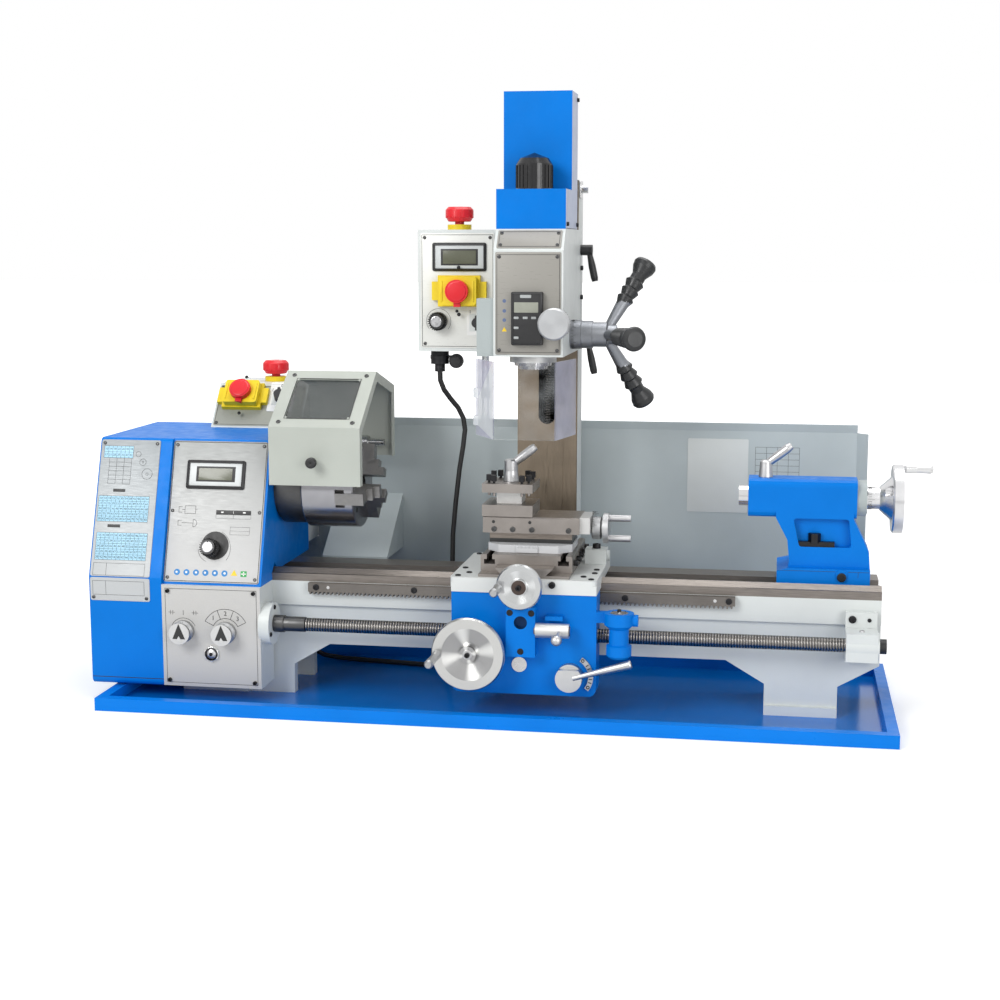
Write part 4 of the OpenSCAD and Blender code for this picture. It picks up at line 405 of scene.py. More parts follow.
# Tray, headstock and electrics box
paint_node("chip_tray", tray_blue, (shaded_tray_floor, lambda c, n: n.z > 0.9 and c.z < 0.004))
paint_node("headstock", blue, (steel, lambda c, n: c.x > -0.342))
paint_node("gearbox", pale, (gear_silver, lambda c, n: n.y < -0.9 and abs(c.y - GEARBOX_FRONT) < 0.0005),
    (oil, near("xz", SIGHT_X, SIGHT_Z, 0.0095, lambda c, n: n.y < -0.9 and c.y > -0.1318)))
paint_node("electrics_box", pale, (black, lambda c, n: c.z < 0.2 or (c.y < 0.153 and abs(c.x + 0.387) < 0.0131
    and n.y < 0.1 and n.z > 0.3 and abs(n.y + 0.785) > 0.001)))
paint_node("chuck_guard", guard_pale, (black, lambda c, n: c.y < -0.1), (steel, near("yz", 0.116, 0.366, 0.0102)))
CROWN = 0.0216
lid_axis, lid_middle = Vector((0, -0.7855, 0.6188)), Vector((-0.447, 0.1358, 0.4312))
paint_node("lathe_switch_lid", yellow, (red, lambda c, n: (c - lid_middle).dot(lid_axis) > CROWN))
paint_node("mill_switch_lid", yellow, (red, lambda c, n: c.y < 0.02 - CROWN))

# Column: brown ground ways, and painted shade in the slot of the lifting screw
paint_node("column", pale, (column_ways, lambda c, n: c.y < 0.1252 and 0.19 < c.z < 0.7719),
    (slot_shade, lambda c, n: 0.0355 < c.x < 0.0625 and c.y > 0.0680 and 0.3995 < c.z < 0.7430
        and (abs(n.x) > 0.5 or abs(n.z) > 0.3 or c.y > 0.1085)))

# Carriage
paint_node("leadscrew", screw_thread, (black, lambda c, n: c.x > 0.5471))
paint_node("saddle", saddle_finish, (slide_iron, lambda c, n: c.z > SLIDE_FOOT),
    (pale, lambda c, n: c.z > SLIDE_FOOT and c.x > 0.1255))
paint_node("apron", blue, (bore_shade_blue, near("xz", BORE_X, BORE_Z, 0.0098, lambda c, n: -0.1499 < c.y < -0.1385)),
    (steel, near("xz", 0.043, 0.078, 0.0112, lambda c, n: c.y < -0.1283)),
    (dark_steel, near("yz", -0.145, 0.133, 0.0072, lambda c, n: 0.0692 < c.x < 0.118)))
paint_node("apron_handwheel", dish, (handle_steel, near("xz", -0.068, WHEEL_Z, 0.0085,
    lambda c, n: c.y < -0.1706 and math.hypot(c.x - WHEEL_X, c.z - WHEEL_Z) > 0.030)))
paint_node("cross_handwheel", cross_dish,
    (handle_steel, lambda c, n: c.y < -0.1655 and c.x < 0.0275 and abs(c.z - 0.198) < 0.009))
paint_node("half_nut_lever", lever_steel, (face_steel, near("xz", LEVER_X, LEVER_Z, 0.0192, lambda c, n: n.y < -0.9)))
paint_node("feed_lever", face_steel, (lever_steel, lambda c, n: c.y < -0.1585))
paint_node("swivel_base", swivel_shadow_and_iron, (plate_light, lambda c, n: c.z < 0.2423))
paint_node("top_slide", slide_iron, (face_steel, lambda c, n: c.x > 0.1205))
paint_node("top_slide_handle", handle_steel, (lever_steel, lambda c, n: c.x > 0.1535))
paint_node("tool_post", slide_iron,
    (face_steel, near("xy", 0.014, -0.022, 0.027, lambda c, n: 0.2985 < c.z < 0.3160 and abs(n.z) < 0.5)),
    (black_iron, lambda c, n: c.z > 0.3297))

# Tailstock: pale end cap, black clamp plate and nut in the blue recess
paint_node("tailstock_base", blue, (black_iron, lambda c, n: c.z < 0.1879))
paint_node("tailstock_body", blue, (bracket_pale, lambda c, n: c.x > 0.5167 and c.z > 0.2835),
    (black_iron, lambda c, n: -0.0290 < c.y < -0.0155 and abs(c.x - 0.4578) < 0.0290 and 0.2435 < c.z < 0.2700
        and not (n.y < -0.9 and (c.y > -0.0165 or abs(c.y + 0.0280) < 0.0001))))
paint_node("tailstock_handwheel", wheel_dish, (bright, lambda c, n: c.x > 0.5855 and c.z > 0.35))

# Mill head and its clear guard
paint_node("mill_head", pale, (bracket_pale, lambda c, n: c.x < -0.0011), (face_steel, lambda c, n: c.z < 0.5165),
    (hub_grey, lambda c, n: c.x > 0.0995), (hub_grey, near("xz", FINE_X, FINE_Z, 0.0115)))
paint_node("mill_drive_cover", lilac, (blue, lambda c, n: n.y < -0.5))
paint_node("quill_feed_hub", hub_grey, (grip_black, lambda c, n: math.hypot(c.y, c.z - HUB_Z) > 0.0500))
SHEET_TOP = 0.5121
paint_node("mill_guard", pane,
    (pane_side_sheen, lambda c, n: abs(n.x) > 0.5 and (c.x > 0.05 or c.x < 0.006) and abs(n.z) < 0.5),
    (pane_edge, lambda c, n: (abs(n.z) > 0.9 and c.y < -0.03)
        or (c.x < -0.005 and c.z < SHEET_TOP and (0.4159 < c.z < 0.4301 or 0.4559 < c.z < 0.4701))),
    (bracket_pale, lambda c, n: c.x < -0.004 and c.y > -0.0786 and c.z > SHEET_TOP))


# ---- modelling helpers: every piece starts as a primitive, is shaped in edit mode, and is joined in place ----
def take(*objects):
    if bpy.context.object and bpy.context.object.mode != "OBJECT":
        bpy.ops.object.mode_set(mode="OBJECT")
    bpy.ops.object.select_all(action="DESELECT")
    for thing in objects:
        thing.select_set(True)
    bpy.context.view_layer.objects.active = objects[0]


def leave():
    bpy.ops.object.mode_set(mode="OBJECT")


def pick(thing, kind, chosen):
    """Enters edit mode with only the chosen faces or edges."""
    take(thing)
    for part in (thing.data.vertices, thing.data.edges, thing.data.polygons):
        for item in part:
            item.select = False
    for item in chosen:
        item.select = True
    bpy.ops.object.mode_set(mode="EDIT")
    bpy.ops.mesh.select_mode(type=kind)


def pick_faces(thing, test):
    pick(thing, "FACE", [face for face in thing.data.polygons if test(face.center, face.normal)])


def pick_edges(thing, test):
    points = thing.data.vertices
    pick(thing, "EDGE", [edge for edge in thing.data.edges if test(*(points[v].co for v in edge.vertices))])


NIL = 1e-6


def slab(low, high, edge=0.0005, corner=0.0, segments=3):
    """A flat block in the piece's own frame, with rounded corners and softened edges."""
    low, high = Vector(low), Vector(high)
    take(camera)
    bpy.ops.mesh.primitive_cube_add(size=1, location=(low + high) / 2)
    thing = bpy.context.object
    thing.scale = high - low
    bpy.ops.object.transform_apply(location=True, rotation=True, scale=True)
    if corner:
        pick_edges(thing, lambda a, b: abs(a.x - b.x) < NIL and abs(a.y - b.y) < NIL)
        bpy.ops.mesh.bevel(offset=corner, segments=5)
        leave()
    if edge:
        pick_edges(thing, lambda a, b: a.z > high.z - NIL and b.z > high.z - NIL)
        bpy.ops.mesh.bevel(offset=edge, segments=segments)
        leave()
    return thing


def strip(low, high):
    """A printed mark: a slab with sharp edges."""
    return slab(low, high, 0, 0, 1)


def drum(x, y, z0, z1, radius, edge=0.0005, sides=40, top_radius=None):
    """A turned piece that stands along the frame's own z, with its upper rim softened."""
    take(camera)
    bpy.ops.mesh.primitive_cone_add(vertices=sides, radius1=radius, depth=z1 - z0,
        radius2=radius if top_radius is None else top_radius, location=(x, y, (z0 + z1) / 2))
    thing = bpy.context.object
    bpy.ops.object.transform_apply(location=True, rotation=True, scale=True)
    if edge:
        pick_edges(thing, lambda a, b: abs(a.z - b.z) < NIL and a.z > z1 - NIL)
        bpy.ops.mesh.bevel(offset=edge, segments=3)
        leave()
    return thing


def sink(thing, over, margin, depth, up=0.9):
    """Insets the faces that look up above a height, and pushes them in by a depth."""
    pick_faces(thing, lambda c, n: n.z > up and c.z > over)
    bpy.ops.mesh.inset(thickness=margin)
    bpy.ops.mesh.extrude_region_move(TRANSFORM_OT_translate={"value": (0, 0, -depth)})
    leave()
    return thing


def copies(parts, places):
    """Copies of small parts, each with its own mesh, at each of the places."""
    made = []
    for part in parts:
        for place in places:
            twin = part.copy()
            twin.data = part.data.copy()
            bpy.context.scene.collection.objects.link(twin)
            twin.data.transform(place)
            made.append(twin)
        bpy.data.objects.remove(part)
    return made


def turn(angle):
    return Matrix.Rotation(math.radians(angle), 4, "Z")


def around(parts, count, start=0.0):
    """Repeats small parts about the frame's z."""
    return copies(parts, [turn(start + index * 360 / count) for index in range(count)])


def spots(across, up):
    return [(x, y) for y in up for x in across]


def polar(radius, angle):
    return radius * math.cos(math.radians(angle)), radius * math.sin(math.radians(angle))


# A face's own frame: x to the right along it, y up it, z out of it
def facing(x_axis, y_axis, z_axis, place):
    columns = Matrix((x_axis, y_axis, z_axis)).transposed().to_4x4()
    return Matrix.Translation(place) @ columns


def front(x, y, z):
    return facing((1, 0, 0), (0, 0, 1), (0, -1, 0), (x, y, z))


def right(x, y, z):
    return facing((0, 1, 0), (0, 0, 1), (1, 0, 0), (x, y, z))


def left(x, y, z):
    return facing((0, -1, 0), (0, 0, 1), (-1, 0, 0), (x, y, z))


def back(x, y, z):
    return facing((-1, 0, 0), (0, 0, 1), (0, 1, 0), (x, y, z))


def top(x, y, z):
    return Matrix.Translation((x, y, z))


def leaning(x, y, z, lean):
    return Matrix.Translation((x, y, z)) @ Matrix.Rotation(math.radians(90 - lean), 4, "X")


SMOOTH = math.radians(35)


def piece(name, parts, place, material, body="machine"):
    """Joins the parts, sets them in their frame, and gives the piece its finish and the body it rides on."""
    parts = parts if isinstance(parts, list) else [parts]
    take(*parts)
    if len(parts) > 1:
        bpy.ops.object.join()
    thing = bpy.context.object
    thing.name = name
    thing.data.name = name
    thing.matrix_world = place
    bpy.ops.object.transform_apply(location=True, rotation=True, scale=True)
    bpy.ops.object.shade_smooth_by_angle(angle=SMOOTH)
    thing.data.materials.clear()
    thing.data.materials.append(material)
    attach(thing, body)
    return thing


def socket_screw(x, y, radius, proud=0.0):
    """A cap screw seen from above, with a round socket sunk into its head. A sunk screw keeps its socket's
    floor above the face."""
    rim, hollow, peak = radius * 0.12, radius * 0.55, proud + radius * 1.1
    deep = radius * 0.8 if proud >= 0 else min(radius * 0.8, peak - 0.0008)
    head = drum(x, y, proud - radius * 0.2, peak, radius, rim, 24)
    return sink(head, peak - 0.00001, radius - rim - hollow, deep)


def cap_screws(points, radius, rise=0.0):
    return copies([socket_screw(0, 0, radius, rise)], [top(x, y, 0) for x, y in points])


def pan_screws(points, radius, rise=0.0):
    """Small round headed screws with a dimple, one at each point."""
    head = drum(0, 0, rise, rise + radius * 0.5, radius, radius * 0.3, 20)
    sink(head, rise + radius * 0.45, radius * 0.35, radius * 0.25)
    return copies([head], [top(x, y, 0) for x, y in points])


def bars(rects, base=0.0, high=INK):
    """Flat printed strips: (x0, y0, x1, y1) each."""
    return [slab((a, b, base), (c, d, base + high), INK_EDGE, 0, 1) for a, b, c, d in rects]


def grid(x0, y0, x1, y1, columns, rows, base=0.0, wide=0.0003):
    """Printed table lines."""
    across, up, half = (x1 - x0) / columns, (y1 - y0) / rows, wide / 2
    lines = [(x0, y0 + up * k - half, x1, y0 + up * k + half) for k in range(rows + 1)]
    lines += [(x0 + across * k - half, y0, x0 + across * k + half, y1) for k in range(columns + 1)]
    return bars(lines, base)


def outline(half_x, half_y, wide, base=0.0, high=INK):
    """The printed line that runs round a panel."""
    in_x, in_y = half_x - wide, half_y - wide
    return bars([(-half_x, -half_y, half_x, -in_y), (-half_x, in_y, half_x, half_y),
        (-half_x, -in_y, -in_x, in_y), (in_x, -in_y, half_x, in_y)], base, high)


def arc(radius, start, end, count, wide, base=0.0, x=0.0, y=0.0):
    """A printed arc as short straight strips that overlap a little, angles in degrees."""
    step = (end - start) / count
    half = radius * math.radians(step) * 0.52
    made = []
    for index in range(count):
        angle = start + step * (index + 0.5)
        a, b = polar(radius, angle)
        dash = strip((-half, -wide / 2, base), (half, wide / 2, base + INK))
        dash.data.transform(top(x + a, y + b, 0) @ turn(angle + 90))
        made.append(dash)
    return made


def rim_marks(radius, count, z0, z1, long, width=0.0004, every=5):
    """Graduations on the outside of a collar that stands along the frame's z."""
    made = []
    for index in range(count):
        reach = long if index % every == 0 else long * 0.55
        mark = strip((radius - INK, -width / 2, z0), (radius + INK, width / 2, z0 + (z1 - z0) * reach))
        mark.data.transform(turn(360 * index / count))
        made.append(mark)
    return made


def digits(text, size, x, y, z, thick=0.00015, spin=0.0):
    """Plain numbers for a dial, made a mesh."""
    take(camera)
    bpy.ops.object.text_add(location=(0, 0, 0))
    words = bpy.context.object.data
    words.body = text
    words.size = size
    words.align_x = words.align_y = "CENTER"
    words.extrude = thick
    words.resolution_u = 3
    bpy.ops.object.convert(target="MESH")
    thing = bpy.context.object
    thing.data.transform(top(x, y, z) @ turn(spin))
    return thing


def tip_range(node, place, test=lambda p: True):
    """The lowest and highest place of a node along a frame's z, for the points that the test picks."""
    inward = place.inverted()
    heights = [p.z for p in (inward @ v.co for v in nodes[node].data.vertices) if test(p)]
    return min(heights), max(heights)


def within(radius):
    return lambda p: math.hypot(p.x, p.y) < radius


# ---- the mill control box's lead: one swept tube along its route ----
LEAD_RADIUS = 0.0039
lead_route = [
    (-0.110, 0.062, 0.484), (-0.110, 0.064, 0.470), (-0.106, 0.072, 0.455), (-0.098, 0.084, 0.440),
    (-0.088, 0.094, 0.425), (-0.081, 0.100, 0.408), (-0.079, 0.102, 0.390), (-0.082, 0.102, 0.365),
    (-0.088, 0.102, 0.328), (-0.094, 0.102, 0.277), (-0.099, 0.102, 0.223), (-0.100, 0.102, 0.170),
    (-0.101, 0.102, 0.120), (-0.102, 0.102, 0.080), (-0.104, 0.104, 0.050), (-0.110, 0.108, 0.027),
    (-0.124, 0.114, 0.012), (-0.145, 0.120, 0.007), (-0.175, 0.126, 0.0065), (-0.210, 0.131, 0.0065),
    (-0.250, 0.136, 0.0065), (-0.290, 0.142, 0.0065), (-0.325, 0.149, 0.009), (-0.352, 0.156, 0.020),
    (-0.369, 0.161, 0.042), (-0.377, 0.164, 0.075), (-0.380, 0.165, 0.110), (-0.380, 0.165, 0.150),
    (-0.380, 0.165, 0.186)]
take(camera)
curve = bpy.data.curves.new("lead", "CURVE")
curve.dimensions = "3D"
curve.bevel_depth = LEAD_RADIUS
curve.bevel_resolution = 4
curve.use_fill_caps = True
line = curve.splines.new("POLY")
line.points.add(len(lead_route) - 1)
for point, place in zip(line.points, lead_route):
    point.co = (*place, 1)
lead = bpy.data.objects.new("lead", curve)
bpy.context.scene.collection.objects.link(lead)
take(lead)
bpy.ops.object.convert(target="MESH")
lead = bpy.context.object
bpy.ops.object.shade_smooth_by_angle(angle=math.radians(60))
lead.data.materials.append(lead_black)
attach(lead, "machine")
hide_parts("control_cable")
PLUG = (-0.110, 0.062)
plug = piece("lead_plug", [drum(*PLUG, 0.4955, 0.517, 0.0137, 0.001), drum(*PLUG, 0.4838, 0.496, 0.0078, 0.0015),
    drum(*PLUG, 0.503, 0.509, 0.0146, 0.001)], top(0, 0, 0), black_iron)
cap = piece("dust_cap", [drum(-0.084, 0.500, -0.062, -0.056, 0.011, 0.001),
    drum(-0.084, 0.500, -0.0555, -0.053, 0.008, 0.0005),
    slab((-0.110, 0.505, -0.0605), (-0.084, 0.5085, -0.0575), 0.0004)], front(0, 0, 0), black)
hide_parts("control_cable")


# ---- trim that both control boxes share ----
def display(prefix, place, base, rim, bezel, surround, mask, glass):
    """A digital display from its bezel to its glass, each given by its outline (x0, y0, x1, y1)."""
    def layer(rect, low, high, *soft):
        return slab((rect[0], rect[1], low), (rect[2], rect[3], high), *soft)

    case = sink(layer(bezel, base, 0.0042, 0.0012, 0.003), 0.0041, rim, 0.0012, 0.95)
    piece(prefix + "display_bezel", case, place, black)
    piece(prefix + "display_surround", layer(surround, 0.0028, 0.0034, 0.0002, 0.001), place, display_grey)
    piece(prefix + "display_mask", layer(mask, 0.0034, 0.0036, 0.0001), place, print_black)
    piece(prefix + "display_glass", layer(glass, 0.0036, 0.0039, 0.0002, 0.0008), place, screen)


def speed_knob_trim(name, place, body):
    """A bright cap set in the top, a pointer line, and grip flutes round the side."""
    reach = tip_range(body, place)[1]
    flutes = around([slab((0.0128, -0.0006, 0.003), (0.0137, 0.0006, reach - 0.0025), 0.0003)], 24)
    piece(name + "_flutes", flutes, place, black, body)
    cap_top = drum(0, 0, reach - 0.0002, reach + 0.0012, 0.0084, 0.0005)
    piece(name + "_cap", sink(cap_top, reach + 0.0011, 0.0012, 0.0005), place, aluminium, body)
    pointer = slab((-0.0006, 0.0060, reach + 0.0007), (0.0006, 0.0092, reach + 0.0014), 0.0001)
    piece(name + "_pointer", pointer, place, print_black, body)


def stop_button_trim(name, place, body):
    """The mushroom's grip ribs and its two arrows."""
    high, radius = tip_range(body, place)[1], 0.0207
    rib = slab((radius - 0.0006, -0.0009, high - 0.0165), (radius + 0.0005, 0.0009, high - 0.006), 0.0004)
    piece(name + "_ribs", around([rib], 18), place, red, body)
    arrows = [digits(">", 0.012, x, 0, high, 0.0002, spin) for x, spin in ((0.008, 0), (-0.008, 180))]
    piece(name + "_arrow", arrows, place, white, body)


def lid_trim(name, place, body):
    """The flip lid's red crown and tab, the moulded ribs beside it, and the screws of its yellow base."""
    piece(name + "_crown", drum(0, 0, 0.0295, 0.0316, 0.0160, 0.0012, 40, 0.0140), place, red, body)
    piece(name + "_tab", slab((-0.0052, -0.0200, 0.0210), (0.0052, -0.0120, 0.0250), 0.0006, 0.001), place, red, body)
    ribs = [slab((x - 0.0012, -0.0150, 0.0210), (x + 0.0012, 0.0150, 0.0228), 0.0005) for x in (-0.0238, 0.0238)]
    piece(name + "_ribs", ribs, place, yellow, body)
    piece(name + "_screws", pan_screws([(0, 0.0345), (0, -0.0345)], 0.0028, 0.0089), place, black_iron)


# ---- the headstock's leaning front: control panel, display and speed knob ----
LEAN = 17.45
LOW_Y, LOW_Z, TOP_Y, TOP_Z = -0.124, 0.177, -0.058, 0.387


def head_face(x, z):
    """A point on the headstock's leaning front, by its place across and its height."""
    share = (z - LOW_Z) / (TOP_Z - LOW_Z)
    return leaning(x, LOW_Y + share * (TOP_Y - LOW_Y), z, LEAN)


panel = head_face(-0.4195, 0.282)
piece("control_panel", slab((-0.0735, -0.1065, 0), (0.0735, 0.1065, PANEL), 0.0004, 0.004), panel, face_plate)
piece("control_panel_line", outline(0.0722, 0.1052, 0.0009, PANEL), panel, print_black)
panel_screws = pan_screws(spots((-0.0675, 0.0675), (-0.1, 0, 0.1)), 0.0026, PANEL)
piece("control_panel_screws", panel_screws, panel, dark_steel)
display("", panel, PANEL, 0.0040, (-0.0494, 0.0337, 0.0412, 0.0772), (-0.0450, 0.0381, 0.0368, 0.0728),
    (-0.0341, 0.0446, 0.0264, 0.0676), (-0.0305, 0.0470, 0.0219, 0.0650))
lathe_knob = head_face(-0.422, 0.229)
piece("speed_wedge", drum(0.0050, 0.0046, PANEL, PANEL + INK, 0.0212, 0, 64), lathe_knob, print_black)
piece("speed_scale", arc(0.0290, -35, 60, 10, 0.0005, PANEL) + arc(0.0205, 185, 250, 8, 0.0005, PANEL),
    lathe_knob, print_black)
speed_knob_trim("lathe_knob", lathe_knob, "lathe_speed_knob")

# Small printed signs: a tool and a centre, a scale, a row of round marks, a triangle and a cross
tool_bars = bars([(-0.0180, -0.0045, -0.0125, -0.0040), (-0.0180, 0.0040, -0.0125, 0.0045),
    (-0.0180, -0.0045, -0.0175, 0.0045), (-0.0125, -0.0003, -0.0085, 0.0003), (0.0085, -0.0003, 0.0110, 0.0003)], PANEL)
piece("tool_signs", outline(0.0085, 0.0060, 0.0005, PANEL) + tool_bars, panel @ top(-0.0400, 0.0020, 0), print_black)
centre_bars = bars([(-0.0180, -0.0040, -0.0120, -0.0035), (-0.0180, 0.0035, -0.0120, 0.0040),
    (-0.0180, -0.0040, -0.0175, 0.0040), (-0.0120, -0.0003, 0.0060, 0.0003), (0.0055, -0.0055, 0.0060, 0.0055)], PANEL)
piece("centre_signs", arc(0.0055, -90, 90, 8, 0.0005, PANEL, 0.0060) + centre_bars,
    panel @ top(-0.0400, -0.0180, 0), print_black)
row = [(-0.0532 + 0.0147 * k, -0.0919) for k in range(8)]
piece("panel_blue_marks", [drum(x, y, PANEL, PANEL + INK, 0.0047, 0, 32) for x, y in row[:6]], panel, print_blue)
piece("panel_blue_dots", [drum(x - 0.0006 + 0.0004 * (k % 3), y + 0.0002, 0.0014, 0.0015, 0.0018, 0, 5 + k)
    for k, (x, y) in enumerate(row[:6])], panel, white)
piece("panel_yellow_mark", drum(*row[6], PANEL, PANEL + INK, 0.0058, 0, 3), panel, print_yellow)
cross_place = panel @ top(*row[7], 0)
piece("panel_green_mark", slab((-0.0046, -0.0042, PANEL), (0.0046, 0.0042, PANEL + INK), 0.00005),
    cross_place, print_green)
piece("panel_green_dots", bars([(-0.0034, -0.0008, 0.0034, 0.0008), (-0.0008, -0.0030, 0.0008, 0.0030)],
    0.0014, 0.0001), cross_place, white)
piece("scale_bar", slab((0.0005, -0.0040, PANEL), (0.0545, 0.0024, PANEL + INK), INK_EDGE), panel, print_black)
piece("scale_bar_cells", bars([(0.0080, -0.0016, 0.0120, 0.0004), (0.0270, -0.0024, 0.0276, 0.0010),
    (0.0420, -0.0016, 0.0460, 0.0004)], 0.0014, 0.0001), panel, white)
piece("scale_boxes", grid(0.0005, -0.0100, 0.0545, -0.0042, 2, 1, PANEL)
    + grid(0.0240, -0.0340, 0.0540, -0.0225, 1, 2, PANEL), panel, print_black)

# ---- the gearbox's front: printed outline, four screws, two knobs with their scales, oil sight ----
gear = front(HEADSTOCK_X, GEARBOX_FRONT, 0.1005)
piece("gearbox_line", outline(0.0705, 0.0715, 0.0006), gear, print_black)
piece("gearbox_screws", cap_screws(spots((-0.0660, 0.0660), (-0.0675, 0.0675)), 0.0030), gear, black_iron)
range_face = front(RANGE_X, GEARBOX_FRONT, KNOB_Z)
direction_face = front(DIRECTION_X, GEARBOX_FRONT, KNOB_Z)
FIRST, LAST, CELL = 27, 153, 42
numbers = [digits(mark, 0.0095, *polar(0.0282, LAST - CELL / 2 - index * CELL), 0.0001)
    for index, mark in enumerate("123")]
piece("range_numbers", numbers, range_face, print_black)
cells = arc(0.0350, FIRST, LAST, 18, 0.0007) + arc(0.0210, FIRST, LAST, 14, 0.0007)
divider = strip((0.0210, -0.00035, 0), (0.0350, 0.00035, INK))
cells += copies([divider], [turn(angle) for angle in range(FIRST, LAST + 1, CELL)])
piece("range_cells", cells, range_face, print_black)
piece("direction_signs", bars([(-0.0230, 0.0275, -0.0130, 0.0280), (-0.0200, 0.0245, -0.0195, 0.0310),
    (-0.0165, 0.0245, -0.0160, 0.0310), (-0.0003, 0.0240, 0.0003, 0.0312), (0.0130, 0.0275, 0.0230, 0.0280),
    (0.0160, 0.0245, 0.0165, 0.0310), (0.0195, 0.0245, 0.0200, 0.0310)]), direction_face, print_black)
piece("direction_scale", arc(0.0195, 25, 155, 12, 0.0006), direction_face, print_black)
for label, knob in (("direction", direction_face), ("range", range_face)):
    body = "feed_%s_knob" % label
    reach = tip_range(body, knob)[1]
    piece(label + "_knob_face", drum(0, 0, reach - 0.0003, reach + 0.0006, 0.0158, 0.0003, 48), knob, knob_silver, body)
    arrow = drum(0, 0, reach + 0.0006, reach + 0.0009, 0.0136, 0, 3)
    pick_faces(arrow, lambda c, n: True)
    bpy.ops.transform.resize(value=(0.82, 1.12, 1), center_override=(0, 0, 0))
    leave()
    piece(label + "_knob_arrow", arrow, knob, print_black, body)
    notch = drum(0, -0.0086, reach + 0.0009, reach + 0.0010, 0.0056, 0, 3)
    piece(label + "_knob_notch", notch, knob, knob_silver, body)
sight = front(SIGHT_X, -0.1318, SIGHT_Z)
piece("sight_nut", drum(0, 0, -0.0005, 0.0016, 0.0120, 0.0005, 6), sight, bright)
piece("sight_ring", sink(drum(0, 0, 0.0015, 0.0026, 0.0100, 0.0004), 0.0025, 0.0020, 0.0009), sight, black_iron)
piece("sight_glass", sink(drum(0, 0, 0.0010, 0.0019, 0.0078, 0.0002), 0.0018, 0.005, 0.0003), sight, lever_steel)

# ---- the end cover's front plates: tables of plain numbers, a gear sketch, empty boxes ----
COVER_X, COVER_Z, FOOT_Z = -0.5535, 0.2605, 0.186
RUN, RISE = 0.066, 0.201
cover_lean = math.degrees(math.atan2(RUN, RISE))
cover_face = leaning(COVER_X, GEARBOX_FRONT + (COVER_Z - FOOT_Z) * RUN / RISE, COVER_Z, cover_lean)
cover_foot = front(COVER_X, GEARBOX_FRONT, FOOT_Z)
for name, place, y0, y1, screw_y in (("plate", cover_face, -0.0778, 0.1300, 0.1245),
        ("foot", cover_foot, -0.0360, -0.0010, -0.0310)):
    plate = slab((-0.0515, y0, 0), (0.0415, y1, PLATE), 0.0004, 0.003)
    piece("cover_plate" if name == "plate" else "cover_plate_foot", plate, place, cover_silver)
    piece("cover_%s_screws" % name, pan_screws(spots((-0.0465, 0.0365), (screw_y,)), 0.0026, PLATE), place, dark_steel)
blocks = [(-0.0463, 0.1020, -0.0004, 0.1200, 7, 2), (-0.0484, 0.0049, 0.0310, 0.0437, 12, 5),
    (-0.0467, -0.0530, 0.0332, -0.0120, 12, 5)]
piece("cover_table_fields", [slab((x0, y0, PLATE), (x1, y1, PLATE + 0.0001), 0.00003)
    for x0, y0, x1, y1, _, _ in blocks], cover_face, table_blue)
lines = grid(-0.0370, 0.0620, -0.0020, 0.1020, 3, 6, PLATE, 0.00035)
figures = []
for x0, y0, x1, y1, columns, rows in blocks:
    lines += grid(x0, y0, x1, y1, columns, rows, 0.0012, 0.00035)
    across, up = (x1 - x0) / columns, (y1 - y0) / rows
    for down in range(rows):
        for along in range(columns):
            number = 10 + (down * 7 + along * 4) % 89
            place = (x0 + across * (along + 0.5), y1 - up * (down + 0.5), 0.0012)
            figures.append(digits(str(number), 0.0046, *place, 0.0001))
piece("cover_table_lines", lines, cover_face, print_black)
piece("cover_table_numbers", figures, cover_face, print_black)
gears = []
for radius, count, x, y in ((0.0080, 20, 0.0240, 0.0780), (0.0050, 14, 0.0160, 0.0960), (0.0040, 12, 0.0080, 0.1080),
        (0.0018, 8, 0.0240, 0.0780), (0.0014, 8, 0.0160, 0.0960)):
    gears += arc(radius, 0, 360, count, 0.0004, PLATE, x, y)
piece("gear_train_sign", gears, cover_face, print_black)
piece("screw_signs", [slab((x, y, PLATE), (x + long, y + 0.0045, PLATE + INK), 0.0001)
    for x, y, long in ((-0.0270, 0.0500, 0.0190), (-0.0310, -0.0040, 0.0200))], cover_face, print_black)
for name, place, y0, y1 in (("cover_boxes", cover_face, -0.0762, -0.0580),
        ("cover_foot_box", cover_foot, -0.0270, -0.0060)):
    box = grid(-0.0475, y0, 0.0330, y1, 1, 1, PLATE, 0.0004) + bars([(-0.0272, y0, -0.0268, y1)], PLATE)
    piece(name, box, place, print_black)
piece("cover_seam", bars([(-0.0560, -0.1275, 0.0560, -0.1265)]), front(-0.5505, GEARBOX_FRONT, 0.160), print_black)
piece("cover_side_screws", cap_screws(spots((0.035, -0.145), (0.06, 0.34)), 0.0045), left(-0.607, 0, 0), black_iron)

# ---- the electrics box behind the headstock ----
BOX_LEAN = 38.23
slope = leaning(HEADSTOCK_X, 0.1270, 0.4200, BOX_LEAN)
rotary = leaning(-0.38704, 0.13584, 0.43122, BOX_LEAN)
piece("box_plate", slab((-0.0715, -0.0385, 0), (0.0715, 0.0385, 0.0008), 0.0003, 0.003), slope, electrics_silver)
piece("box_plate_line", outline(0.0698, 0.0368, 0.0006, 0.0008), slope, print_black)
piece("box_slope_screws", pan_screws(spots((-0.0665, 0.0665), (-0.0335, 0.0335)), 0.0026, 0.0008), slope, dark_steel)
piece("box_rotary_plate", slab((-0.0190, -0.0250, 0.0008), (0.0230, 0.0300, 0.0014), 0.0003, 0.002), rotary, white)
piece("box_rotary_marks", [digits(mark, 0.008, x, y, 0.0015) for mark, x, y in
    (("1", -0.0145, 0.0150), ("0", 0.0, 0.0235), ("2", 0.0145, 0.0150))], rotary, print_black)
piece("box_lid_line", bars([(-0.0715, y, 0.0715, y + 0.0010) for y in (-0.0765, 0.0545)]),
    top(HEADSTOCK_X, 0.220, 0.453), print_black)
